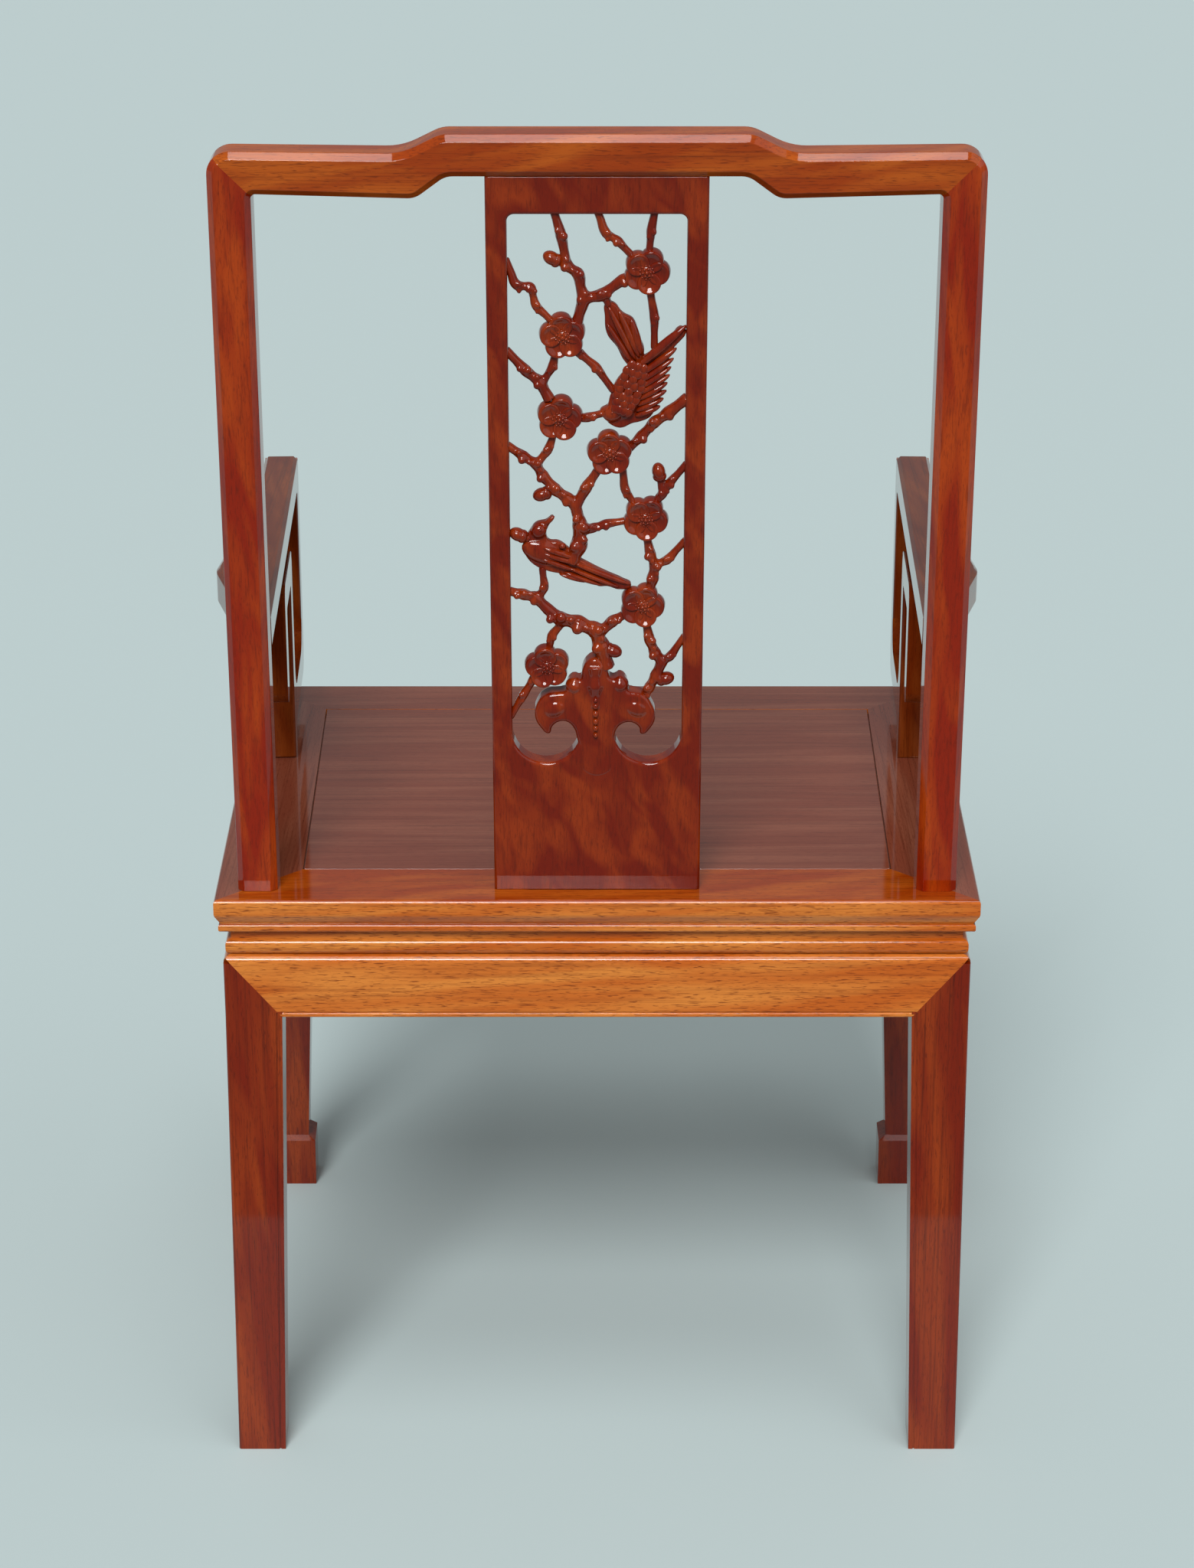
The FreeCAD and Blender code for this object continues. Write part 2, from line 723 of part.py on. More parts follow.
twig_shares = [
    ((-0.04, 1.02), (0.102, 0.965), (0.229, 0.952), (0.4, 0.925)),
    ((0.66, 1.02), (0.602, 0.969), (0.58, 0.93)),
    ((-1.03, 0.921), (-0.896, 0.876), (-0.743, 0.872), (-0.685, 0.841), (-0.46, 0.805)),
    ((-0.457, 0.765), (-0.5, 0.735), (-0.61, 0.705)),
    ((-0.3, 0.775), (-0.215, 0.76), (-0.009, 0.732), (0.19, 0.69)),
    ((0.58, 0.88), (0.643, 0.82), (0.646, 0.765)),
    ((0.085, 0.866), (0.13, 0.84)),
    ((-0.3, 0.64), (-0.104, 0.643), (0.1, 0.652)),
    ((-0.68, 0.56), (-0.559, 0.585), (-0.45, 0.63)),
    ((-0.203, 0.432), (-0.044, 0.442), (0.097, 0.449), (0.4, 0.457)),
    ((0.28, 0.565), (0.325, 0.512), (0.45, 0.48)),
    ((0.6, 0.478), (0.755, 0.505), (0.833, 0.524), (1.03, 0.56)),
    ((0.67, 0.372), (0.815, 0.383), (1.03, 0.42)),
    ((-0.686, 0.308), (-0.614, 0.332), (-0.635, 0.37)),
    ((-0.393, 0.268), (-0.528, 0.24), (-0.583, 0.2)),
    ((0.764, 0.191), (0.853, 0.2), (1.03, 0.24)),
    ((-0.66, 0.17), (-0.739, 0.159), (-0.867, 0.127), (-1.03, 0.083)),
]
flower_shares = [(0.554, 0.901), (-0.387, 0.788), (-0.426, 0.643), (0.148, 0.58), (0.559, 0.461),
                 (0.526, 0.299), (-0.584, 0.183)]
# Each bud's place, then the place on a branch that its stalk springs from
bud_shares = [((-0.493, 0.922), (-0.324, 0.908)), ((-0.623, 0.505), (-0.46, 0.513)),
              ((0.709, 0.544), (0.755, 0.508)), ((0.179, 0.213), (0.05, 0.22)),
              ((0.793, 0.159), (0.68, 0.155)), ((-0.901, 0.43), (-0.78, 0.422))]
bud_radius_share = 0.085
upper_bird_shares = [
    ((0.026, 0.653), (0.147, 0.669), (0.139, 0.685), (0.182, 0.698), (0.259, 0.713), (0.345, 0.73),
     (0.474, 0.746), (0.603, 0.759), (0.766, 0.775), (1.02, 0.808), (0.946, 0.783), (0.836, 0.759),
     (0.854, 0.746), (0.807, 0.737), (0.821, 0.722), (0.769, 0.714), (0.787, 0.699), (0.74, 0.688),
     (0.741, 0.673), (0.668, 0.658), (0.608, 0.642), (0.487, 0.634), (0.4, 0.631), (0.279, 0.623),
     (0.174, 0.627), (0.087, 0.639)),
    ((0.103, 0.851), (0.18, 0.847), (0.257, 0.832), (0.343, 0.828), (0.429, 0.815), (0.481, 0.793),
     (0.534, 0.75), (0.43, 0.73), (0.36, 0.715), (0.25, 0.755), (0.163, 0.775), (0.103, 0.796),
     (0.086, 0.822)),
]
lower_bird_shares = [
    ((-0.858, 0.402), (-0.844, 0.42), (-0.777, 0.437), (-0.705, 0.451), (-0.59, 0.458), (-0.489, 0.466),
     (-0.556, 0.447), (-0.583, 0.433), (-0.557, 0.42), (-0.442, 0.417), (-0.318, 0.403), (-0.212, 0.393),
     (-0.044, 0.375), (0.178, 0.357), (0.42, 0.338), (0.338, 0.325), (0.071, 0.328), (-0.044, 0.332),
     (-0.32, 0.343), (-0.515, 0.356), (-0.692, 0.368), (-0.793, 0.379)),
]
# Cloud-head scroll at the foot of the opening, right half, from its tip down to the stem
scroll_shares = [(0.0, 0.203), (0.148, 0.203, 0.14), (0.155, 0.163, 0.03), (0.33, 0.171, 0.09),
                 (0.39, 0.137, 0.04), (0.6, 0.131, 0.1), (0.7, 0.092, 0.12), (0.6, 0.06, 0.05),
                 (0.5, 0.05, 0.02), (0.46, 0.081, 0.06), (0.24, 0.085, 0.1), (0.19, -0.02)]


def carved_face(points):
    """Flat face on the back's plane from an outline of (across, up) shares."""
    return back_face([opening_place(*p) for p in points])


def back_face(corners):
    """Face on the back's plane that looks rearward."""
    face = Part.Face(rounded_wire(corners, back_view))
    return face if face.normalAt(0, 0).y > 0 else face.reversed()


def disc_face(x, z, radius, sides):
    """Flat many-sided disc on the back's plane."""
    turns = [math.tau * i / sides for i in range(sides)]
    return back_face([(x + radius * math.cos(t), z + radius * math.sin(t)) for t in turns])


def limb_faces(shares, start_width, end_width):
    """One branch: straight tapered lengths joined by knots."""
    points = [opening_place(*s) for s in shares]
    faces = []
    last = len(points) - 1
    for i in range(last):
        (x0, z0), (x1, z1) = points[i], points[i + 1]
        w0 = start_width + (end_width - start_width) * i / last
        w1 = start_width + (end_width - start_width) * (i + 1) / last
        length = math.hypot(x1 - x0, z1 - z0)
        nx, nz = (z1 - z0) / length / 2, (x0 - x1) / length / 2
        faces.append(back_face([(x0 + nx * w0, z0 + nz * w0), (x1 + nx * w1, z1 + nz * w1),
                                (x1 - nx * w1, z1 - nz * w1), (x0 - nx * w0, z0 - nz * w0)]))
        if i:
            faces.append(disc_face(x0, z0, w0 * knot_share, knot_sides))
    return faces


def flower_faces(across, up):
    """Plum flower: five petals about a centre."""
    x, z = opening_place(across, up)
    petal_radius = flower_radius * petal_share
    petal_reach = flower_radius - petal_radius
    faces = [disc_face(x, z, flower_radius / 2, petal_count)]
    for turn in range(petal_count):
        angle = math.pi / 2 + math.tau * turn / petal_count
        centre = (x + petal_reach * math.cos(angle), z + petal_reach * math.sin(angle))
        faces.append(disc_face(*centre, petal_radius, petal_sides))
    return faces


def scroll_solid():
    """The cloud-head scroll, as thick as the board and symmetrical about its middle."""
    right = []
    for across, up, *radius in scroll_shares:
        x, z = opening_place(-across, up)
        right.append((x, z, radius[0] * opening_width / 2) if radius and across else (x, z))
    left = [(-c[0],) + tuple(c[1:]) for c in reversed(right[1:])]
    return back_slab(right + left, splat_recess, splat_recess + splat_thickness)


def carving_solids():
    """Branches, flowers and birds, merged in one plane and then given their thickness."""
    faces = []
    for shares in trunk_shares:
        faces += limb_faces(shares, trunk_width, bough_width)
    for shares in bough_shares:
        faces += limb_faces(shares, bough_width, twig_width)
    for shares in twig_shares:
        faces += limb_faces(shares, twig_width, twig_width * twig_taper_share)
    for place in flower_shares:
        faces += flower_faces(*place)
    for place, root in bud_shares:
        faces.append(disc_face(*opening_place(*place), bud_radius_share * opening_width / 2, petal_sides))
        faces += limb_faces((root, place), twig_width, twig_width)
    for shares in upper_bird_shares + lower_bird_shares:
        faces.append(carved_face(shares))
    merged = Part.makeShell(faces[0].multiFuse(faces[1:]).Faces).removeSplitter()
    ahead = vec(0, -math.cos(rake), math.sin(rake))
    carved = []
    for face in merged.Faces:
        face.translate(ahead * (splat_recess + carving_recess))
        carved.append(face.extrude(ahead * carving_thickness))
    return carved


def splat_board():
    """The splat's board with its opening, from the seat to the crest rail's underside."""
    half = splat_width / 2
    corners = [(half, seat_height - overrun), (half, crest_underside), (-half, crest_underside),
               (-half, seat_height - overrun)]
    board = back_slab(corners, splat_recess, splat_recess + splat_thickness)
    ahead = vec(0, -math.cos(rake), math.sin(rake))
    board = bevel_edges(board, splat_chamfer, ahead, lambda p: abs(p.x) > half - fit_gap)
    board = board.cut(box((-half, 0, 0), (half, stile_depth * 3, seat_height)))
    return board.cut(back_slab(opening_outline(), 0, stile_depth))


def splat_foot():
    """Corners of the tenon under the splat."""
    half = splat_width / 2 * post_tenon_share
    near = stile_rear_inset + splat_recess
    inset = splat_thickness * (1 - post_tenon_share) / 2
    far = near + splat_thickness - inset
    return (-half, near + inset, seat_height - seat_tenon_depth), (half, far, seat_height)


def splat_head(gap):
    """The tenon that rises from the splat into the crest rail, grown by a gap for its mortise."""
    inset = splat_thickness * (1 - post_tenon_share) / 2
    near, far = splat_recess + inset, splat_recess + splat_thickness - inset
    return crest_block(0, splat_width / 2 * post_tenon_share, crest_underside - splat_tenon_depth / 4,
                       crest_underside + splat_tenon_depth, near, far, gap)


# Arms

def arm_inner(forward):
    """Half the gap between the arms' inner faces at a place forward of the seat's rear edge."""
    rear_gap = stile_outer(arm_height) - stile_width
    return rear_gap + (arm_gap_front / 2 - rear_gap) * (forward - arm_joint) / (arm_front - arm_joint)


def arm_outline():
    """Side outline of one arm: top rail, front post, lower rail, stem and hook, as (forward, z)."""
    post_rear = arm_front - post_depth
    lower_top = lower_rail_bottom + lower_rail_thickness
    stem_front = stem_rear + stem_depth
    hook_front = hook_rear + hook_thickness
    hook_under = hook_top - hook_thickness
    return [
        (arm_rear, arm_height),
        (arm_front, arm_height, arm_front_round),
        (arm_front, lower_rail_bottom, lower_front_round),
        (stem_front, lower_rail_bottom, stem_foot_round),
        (stem_front, seat_height),
        (stem_rear, seat_height),
        (stem_rear, hook_under, hook_inner_round),
        (hook_front, hook_under, hook_inner_round),
        (hook_front, hook_end, hook_end_round),
        (hook_rear, hook_end, hook_end_round),
        (hook_rear, hook_top, hook_outer_round),
        (stem_front, hook_top, hook_outer_round),
        (stem_front, lower_top, lower_inner_round),
        (post_rear, lower_top, lower_inner_round),
        (post_rear, arm_under, arm_inner_round),
        (arm_rear, arm_under),
    ]


def arm_blank(plan):
    """The arm's side outline cut to a plan outline, square to the X axis."""
    blank = slab(arm_outline(), side_view(0), vec(seat_front_width, 0, 0))
    return blank.common(slab(plan, plan_view(seat_height - overrun), vec(0, 0, arm_height)))


def is_arm_edge(point):
    """True past the arm's two ends, at the seat and in the stile."""
    return point.z > seat_height + fit_gap and seat_rear_y - point.y > arm_rear + fit_gap


def splayed(shape):
    """Swings an arm made on the centre plane out to its line, from the stile to the front."""
    rear_gap = stile_outer(arm_height) - stile_width
    splay = math.atan2(arm_gap_front / 2 - rear_gap, arm_front - arm_joint)
    turned = shape.copy()
    turned.rotate(vec(0, seat_rear_y - arm_joint, 0), vec(0, 0, 1), math.degrees(splay))
    turned.translate(vec(rear_gap, 0, 0))
    return turned


def rail_plan():
    """Plan of the top rail before its splay: straight inside, swelling outside past the stile."""
    end = arm_front + overrun
    return [(0, arm_rear), (0, end), (arm_front_width, end),
            (arm_front_width, arm_swell_start, arm_swell_start),
            (arm_swell_width, arm_swell_peak, arm_swell_round),
            (arm_swell_end_width, arm_swell_end, arm_swell_end_round),
            (stile_width, arm_joint), (stile_width, arm_rear)]


def fret_plan():
    """Plan of the posts and rails under the arm before their splay, all of one thickness."""
    end = arm_front + overrun
    return [(0, 0), (0, end), (arm_front_width, end), (arm_front_width, 0)]


def zone(corners):
    """Upright block through one arm from a side outline."""
    return slab(corners, side_view(0), vec(seat_front_width, 0, 0))


def arm_members():
    """The five members of the left arm, divided at their mitres and shoulders."""
    post_rear = arm_front - post_depth
    lower_top = lower_rail_bottom + lower_rail_thickness
    stem_front = stem_rear + stem_depth
    hook_under = hook_top - hook_thickness
    low = seat_height - overrun
    out_f = arm_front + post_depth
    top_mitre = (out_f, arm_height + arm_rail_thickness)
    low_mitre = (out_f, lower_rail_bottom - lower_rail_thickness)
    clear = hook_clearance / 2
    hook_mitre = (stem_front + clear, hook_top + clear)
    zones = {
        "arm_rail": [(0, arm_under), (post_rear, arm_under), top_mitre, (0, top_mitre[1])],
        "arm_front_post": [(post_rear, arm_under), top_mitre, low_mitre, (post_rear, lower_top)],
        "arm_lower_rail": [(stem_front, lower_top + lower_inner_round + overrun / 4),
                           (post_rear, lower_top + lower_inner_round + overrun / 4),
                           (post_rear, lower_top), low_mitre, (stem_front, low_mitre[1])],
        "arm_stem": [(stem_front, low), (stem_front, hook_top), hook_mitre, (stem_rear, hook_under),
                     (stem_rear, low)],
        "arm_hook": [(0, hook_end - overrun), (stem_rear - fit_gap / 2, hook_end - overrun),
                     (stem_rear - fit_gap / 2, hook_under), (stem_rear, hook_under), hook_mitre,
                     (0, hook_mitre[1])],
    }
    wide = bevel_edges(arm_blank(rail_plan()), arm_chamfer, vec(1, 0, 0), is_arm_edge)
    thin = arm_blank(fret_plan())
    members = {}
    for name, corners in zones.items():
        members[name] = splayed((wide if name == "arm_rail" else thin).common(zone(corners)))
    behind = back_slab([(0, seat_height), (front_half, seat_height), (front_half, crest_top), (0, crest_top)],
                       -overrun, stile_depth)
    members["arm_rail"] = members["arm_rail"].cut(behind)
    members["arm_rail"] = members["arm_rail"].fuse(box(*arm_rail_tenon()).cut(members["arm_rail"]))
    members["arm_stem"] = members["arm_stem"].fuse(box(*arm_stem_tenon()))
    return members


def arm_rail_tenon():
    """Corners of the tenon that enters the stile's front face."""
    middle_x = stile_outer(arm_height) - stile_width / 2
    half = stile_width * post_tenon_share / 2
    inset = arm_rail_thickness * (1 - post_tenon_share) / 2
    past = arm_rail_thickness * math.tan(rake)
    return ((middle_x - half, arm_joint - arm_tenon_depth, arm_height - arm_rail_thickness + inset),
            (middle_x + half, arm_joint + past, arm_height - inset))


def arm_stem_tenon():
    """Corners of the tenon under the stem."""
    middle_x = arm_inner(stem_rear + stem_depth / 2) + arm_front_width / 2
    middle_forward = stem_rear + stem_depth / 2
    half_x = arm_front_width * post_tenon_share / 2
    half_f = stem_depth * post_tenon_share / 2
    return ((middle_x - half_x, middle_forward - half_f, seat_height - seat_tenon_depth),
            (middle_x + half_x, middle_forward + half_f, seat_height))


# Building

def mortised(shape, tenons):
    """Cuts the mortises for tenons given as pairs of corners."""
    for low, high in tenons:
        shape = shape.cut(grown_box(low, high, fit_gap))
    return shape


def flipped(corners):
    """A pair of corners on the other side of the chair."""
    return tuple((-c[0],) + tuple(c[1:]) for c in corners)


def seat_mortises():
    """Every tenon that enters the seat frame."""
    found = [splat_foot(), arm_stem_tenon(), flipped(arm_stem_tenon())]
    for side in (LEFT, RIGHT):
        found.append(stile_tenon(side))
        found += batten_tenons(side)
        found += [leg_tenon(side, end) for end in (REAR, FRONT)]
    return found


def build():
    os.makedirs("parts", exist_ok=True)
    tenons = seat_mortises()
    aprons = {}
    for index, name in enumerate(SIDES):
        save(mortised(frame_rail(index), tenons), "seat_rail_" + name)
        save(waist_solid(index), "waist_" + name)
        aprons[name] = apron_solid(index)
        save(aprons[name], "apron_" + name)
    save(seat_panel_solid(), "seat_panel")
    for side, hand in ((LEFT, "left"), (RIGHT, "right")):
        save(batten_solid(side), "seat_batten_" + hand)
        for end in (REAR, FRONT):
            save(leg_solid(side, end, [aprons[end], aprons[hand]]), "leg_" + end + "_" + hand)

    arch = back_arch()
    save(crest_solid(arch), "crest_rail")
    save(stile_solid(arch), "stile_left")
    save(mirrored(stile_solid(arch)), "stile_right")
    joined = [scroll_solid(), box(*splat_foot()), splat_head(0)]
    save(splat_board().fuse(carving_solids() + joined), "splat")

    for name, member in arm_members().items():
        save(member, name + "_left")
        save(mirrored(member), name + "_right")


build()
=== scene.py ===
"""Chinese armchair in lacquered rosewood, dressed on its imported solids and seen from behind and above."""
import math

import bpy
from mathutils import Matrix, Vector
from mathutils.bvhtree import BVHTree


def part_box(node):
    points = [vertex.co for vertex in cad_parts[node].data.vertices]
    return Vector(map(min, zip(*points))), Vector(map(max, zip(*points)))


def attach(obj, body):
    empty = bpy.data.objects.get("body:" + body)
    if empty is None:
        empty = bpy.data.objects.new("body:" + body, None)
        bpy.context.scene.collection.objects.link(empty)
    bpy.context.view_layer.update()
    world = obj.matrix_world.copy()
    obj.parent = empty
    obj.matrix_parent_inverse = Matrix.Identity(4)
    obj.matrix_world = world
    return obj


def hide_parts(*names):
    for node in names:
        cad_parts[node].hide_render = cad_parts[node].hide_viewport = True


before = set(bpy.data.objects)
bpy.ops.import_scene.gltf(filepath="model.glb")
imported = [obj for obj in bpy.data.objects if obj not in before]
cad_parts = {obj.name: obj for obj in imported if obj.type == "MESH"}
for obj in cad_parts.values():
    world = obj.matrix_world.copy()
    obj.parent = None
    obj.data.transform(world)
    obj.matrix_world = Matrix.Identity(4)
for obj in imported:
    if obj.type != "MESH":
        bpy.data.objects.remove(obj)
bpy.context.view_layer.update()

MM = 0.001

# The chair's own places, read from its solids
seat_rear_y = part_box("seat_rail_rear")[1].y
seat_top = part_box("seat_rail_rear")[1].z
apron_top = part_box("apron_rear")[1].z

# Camera, as fitted to the seat's corners, the feet and the crest rail
camera_behind_seat = 2253.4 * MM
camera_height = 1391.0 * MM
camera_pitch_down = math.radians(20.45)
camera_lens = 77.0
camera_sensor = 36.0
camera_reach = 100.0

# The floor is pale to a step behind the chair. The room past it is dim, which keeps the lacquer's reflections
# deep, and the camera sees a backdrop there in the floor's own shade.
floor_end = 0.62
floor_size = 80.0
floor_colour, floor_roughness, floor_specular = "#b5c4c4", 0.9, 0.1
room_colour, room_strength = "#eef2f4", 0.3
backdrop_colour, backdrop_strength = "#bdcdcd", 1.0
# Each lamp's strength, spread in degrees and heading
lamps = {
    "high_light": (2.7, 24, (-0.12, -0.8, -0.7)),
    "ceiling_light": (0.7, 24, (0.04, -0.3, -1.0)),
    "side_light": (0.5, 60, (0.8, -0.5, -0.5)),
}

# A solid's loose triangles are merged where their points lie this close, and where they meet this flatly
merge_reach = 0.01 * MM
board_merge_reach = 0.02 * MM
flat_angle = math.radians(0.5)

# How far wood is eased where two faces meet, in mm, and the hairline that is left at a joint
easing_of = {"": 1.5, "stile": 3.1, "crest_rail": 3.1, "arm": 2.0, "seat_panel": 0.6, "splat": 2.8}
easing_segments = 3
joint_hairline = 0.2 * MM
# How close a joint's face lies to the other solid
contact_reach = 0.15 * MM
# The share of its easing that the splat's board gets at its outer and front edges
board_edge_share = 0.25
# Faces that meet at more than the first have an edge to ease, and eased faces that meet at less than the second
# are shaded as one
sharp_angle = math.radians(28)
smooth_angle = math.radians(40)
# How far down the tops of the aprons are rounded
apron_top_round = 6.0 * MM

# Opening of the splat, in which the carving stands
rake = math.radians(4.95)
back_plane_inset = 18.0 * MM
opening_half = 60.5 * MM
opening_bottom = 561.3 * MM
opening_top = 963.9 * MM
opening_run = (opening_top - opening_bottom) / math.cos(rake)
opening_corner = 5.0 * MM
stem_half = 12.4 * MM
bay_radius = (opening_half - stem_half) / 2
corner_segments = 24
# How far the opening's cutters reach past the board's own faces, and how near its bays are to half rounds
cutter_overshoot = 0.05 * MM
nearly_round = 0.999

# Depths in mm forward of the back's rear face
board_middle = 10.5
cutter_depths = (-6.0, 30.0)

# Which finish each part of the chair has, and which way its grain runs
grain_of = {
    "seat_rail_rear": "X", "seat_rail_front": "X", "seat_rail": "Y",
    "waist_rear": "X", "waist_front": "X", "waist": "Y",
    "apron_rear": "X", "apron_front": "X", "apron": "Y",
    "seat_panel": "X", "seat_batten": "Y", "leg": "Z", "crest_rail": "X", "stile": "Z", "splat": "Z",
    "arm_rail": "Y", "arm_lower_rail": "Y", "arm": "Z",
}

# Colours of the wood: heartwood, its paler figure, and the dark streaks
colours = {
    "frame": ("#ba5c1a", "#d07e34", "#6a2a0a"),
    "crest": ("#953805", "#ad5212", "#5c1f04"),
    "back": ("#861d02", "#a43c08", "#541404"),
    "leg": ("#6f1a02", "#8a330a", "#451002"),
    "splat": ("#6e1802", "#8a2f08", "#480e02"),
    "panel": ("#793c2a", "#864b37", "#562418"),
    "arm": ("#662406", "#7e3a12", "#401203"),
}
colour_of = {
    "seat_rail": "frame", "waist": "frame", "apron": "frame", "seat_panel": "panel", "seat_batten": "panel",
    "leg": "leg", "crest_rail": "crest", "stile": "back", "splat": "splat", "arm": "arm",
}
# The seat rails' top faces take another tone: partly their own wood, partly a painted reflection of the sheen
# the tops show when seen at a grazing angle
rail_top_wood_and_sheen = {"seat_rail": "panel", "seat_rail_rear": "crest"}
top_facing = 0.6

# Patterns in the wood: width across the grain and length along it in mm, how fine the noise is, and the part of
# its range in which the pattern comes up
patterns = {
    "figure": (19, 230, 1.5, 0.4, 0.66),
    "streaks": (1.7, 130, 3.0, 0.5, 0.74),
    "pores": (0.7, 8, 1.0, 0.56, 0.7),
}
pattern_distortion = 0.6
# How strong each one gets: the pale frame shows its short open pores most
strength_of = {
    "figure": {"": 1.0},
    "streaks": {"": 0.6, "frame": 0.36, "crest": 0.5, "splat": 0.45, "back": 0.5},
    "pores": {"": 0.4, "frame": 0.8, "crest": 0.6, "leg": 0.5},
}
# How far the ribbon figure slants across the grain, in degrees
figure_slant = {"splat": 24, "crest": 9, "back": 4, "frame": 3, "panel": 2, "leg": 5, "arm": 8}
# Slight relief of the pores, which the lacquer levels out
pore_relief = {"Strength": 0.1, "Distance": 0.15 * MM}
# Smooth clear lacquer over the wood, which has no gloss of its own
lacquer = {"Roughness": 0.5, "IOR": 1.5, "Specular IOR Level": 0.0,
           "Coat Weight": 1.0, "Coat IOR": 1.45, "Coat Roughness": 0.06}


def linear(hex_colour):
    """sRGB hex to the linear values that a shader takes."""
    channels = [int(hex_colour[i:i + 2], 16) / 255 for i in (1, 3, 5)]
    return [c / 12.92 if c <= 0.04045 else ((c + 0.055) / 1.055) ** 2.4 for c in channels] + [1.0]


def longest_match(table, name):
    """The entry whose key is the longest start of a name."""
    return table[max((k for k in table if name.startswith(k)), key=len)]


def add(tree, kind, settings, links=()):
    """Adds a node, sets its properties and sockets by name or number, and links its inputs."""
    made = tree.nodes.new(kind)
    for key, value in settings.items():
        if isinstance(key, int) or key in made.inputs:
            made.inputs[key].default_value = value
        else:
            setattr(made, key, value)
    for key, source in dict(links).items():
        tree.links.new(source, made.inputs[key])
    return made


def rosewood(tone, grain):
    """Lacquered rosewood: long dark streaks along the grain, a slow slanting ribbon figure and fine pores,
    under a clear glossy coat that gives sharp pale reflections."""
    name = "lacquered_rosewood_" + tone + "_" + grain.lower()
    if name in bpy.data.materials:
        return bpy.data.materials[name]
    heart, pale, streak = [linear(c) for c in colours[tone]]
    material = bpy.data.materials.new(name)
    material.use_nodes = True
    tree = material.node_tree
    shader = tree.nodes["Principled BSDF"]
    place = add(tree, "ShaderNodeTexCoord", {}).outputs["Object"]
    slant = math.radians(figure_slant[tone])
    noise, shown = {}, {}
    for use, (across, along, detail, low, high) in patterns.items():
        size = [(along if axis == grain else across) * MM for axis in "XYZ"]
        turn = [slant if use == "figure" and axis != grain else 0.0 for axis in "XYZ"]
        laid = add(tree, "ShaderNodeMapping", {"vector_type": "TEXTURE", "Scale": size, "Rotation": turn},
                   {"Vector": place})
        noise[use] = add(tree, "ShaderNodeTexNoise",
                         {"Scale": 1.0, "Detail": detail, "Distortion": pattern_distortion},
                         {"Vector": laid.outputs["Vector"]}).outputs["Fac"]
        most = longest_match(strength_of[use], tone)
        shown[use] = add(tree, "ShaderNodeMapRange", {"From Min": low, "From Max": high, "To Max": most},
                         {"Value": noise[use]}).outputs["Result"]
    wood = add(tree, "ShaderNodeMix", {"data_type": "RGBA", 6: heart, 7: pale}, {0: shown["figure"]})
    for use in ("streaks", "pores"):
        wood = add(tree, "ShaderNodeMix", {"data_type": "RGBA", 7: streak}, {0: shown[use], 6: wood.outputs[2]})
    tree.links.new(wood.outputs[2], shader.inputs["Base Color"])
    relief = add(tree, "ShaderNodeBump", pore_relief, {"Height": noise["pores"]})
    tree.links.new(relief.outputs["Normal"], shader.inputs["Normal"])
    for socket, value in lacquer.items():
        shader.inputs[socket].default_value = value
    return material


def only(*pieces):
    """Selects these objects alone and makes the first one active."""
    bpy.ops.object.select_all(action="DESELECT")
    for piece in pieces:
        piece.select_set(True)
    bpy.context.view_layer.objects.active = pieces[0]


def smoothed(*pieces):
    """Gives these pieces smooth shading."""
    only(*pieces)
    bpy.ops.object.shade_smooth()


def named(piece, name):
    piece.name = name
    piece.data.name = name
    return piece


def finished(piece, replaced):
    """Puts a piece in place of a solid, with that solid's body, finish and grain."""
    grain = longest_match(grain_of, replaced)
    piece.data.materials.clear()
    piece.data.materials.append(rosewood(longest_match(colour_of, replaced), grain))
    # Top faces of the seat rails get the second tone, partly their wood and partly a painted reflection
    if replaced.startswith("seat_rail"):
        piece.data.materials.append(rosewood(longest_match(rail_top_wood_and_sheen, replaced), grain))
        for face in piece.data.polygons:
            face.material_index = int(face.normal.z > top_facing)
    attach(piece, "root")
    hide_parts(replaced)


def merged_copy(name):
    """A copy of a solid with its loose triangles merged into flat faces."""
    only(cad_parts[name])
    bpy.ops.object.duplicate()
    piece = bpy.context.view_layer.objects.active
    bpy.ops.object.mode_set(mode="EDIT")
    bpy.ops.mesh.select_all(action="SELECT")
    bpy.ops.mesh.remove_doubles(threshold=merge_reach)
    bpy.ops.mesh.dissolve_limited(angle_limit=flat_angle)
    bpy.ops.object.mode_set(mode="OBJECT")
    return piece


def leg_under_aprons(name):
    """A leg up to where the aprons' tops start to round over; above that the aprons hide it."""
    leg = merged_copy(name)
    bpy.ops.object.mode_set(mode="EDIT")
    bpy.ops.mesh.select_all(action="SELECT")
    bpy.ops.mesh.bisect(plane_co=(0, 0, apron_top - apron_top_round), plane_no=(0, 0, 1), use_fill=True,
                        clear_outer=True)
    bpy.ops.object.mode_set(mode="OBJECT")
    return leg


def sharp_edges(piece):
    """Keys of the edges where two faces meet at more than the angle of a curve's own facets."""
    faces_of = {}
    for face in piece.data.polygons:
        for key in face.edge_keys:
            faces_of.setdefault(key, []).append(face.normal)
    return {key for key, normals in faces_of.items()
            if len(normals) == 2 and normals[0].angle(normals[1], 0) > sharp_angle}


def easing_share(name, place, hairline):
    """The share of its piece's easing that an edge gets. On the splat only the opening's rear edges get it all:
    its front edges get a hairline, and the board's other edges a little."""
    if name != "splat":
        return 1.0
    back_plane = seat_rear_y - back_plane_inset + (place.z - seat_top) * math.tan(rake)
    in_front = back_plane - place.y > board_middle * MM
    beside = abs(place.x) > opening_half + MM
    if in_front and not beside and place.z > opening_bottom - MM:
        return hairline
    return board_edge_share if in_front or beside else 1.0


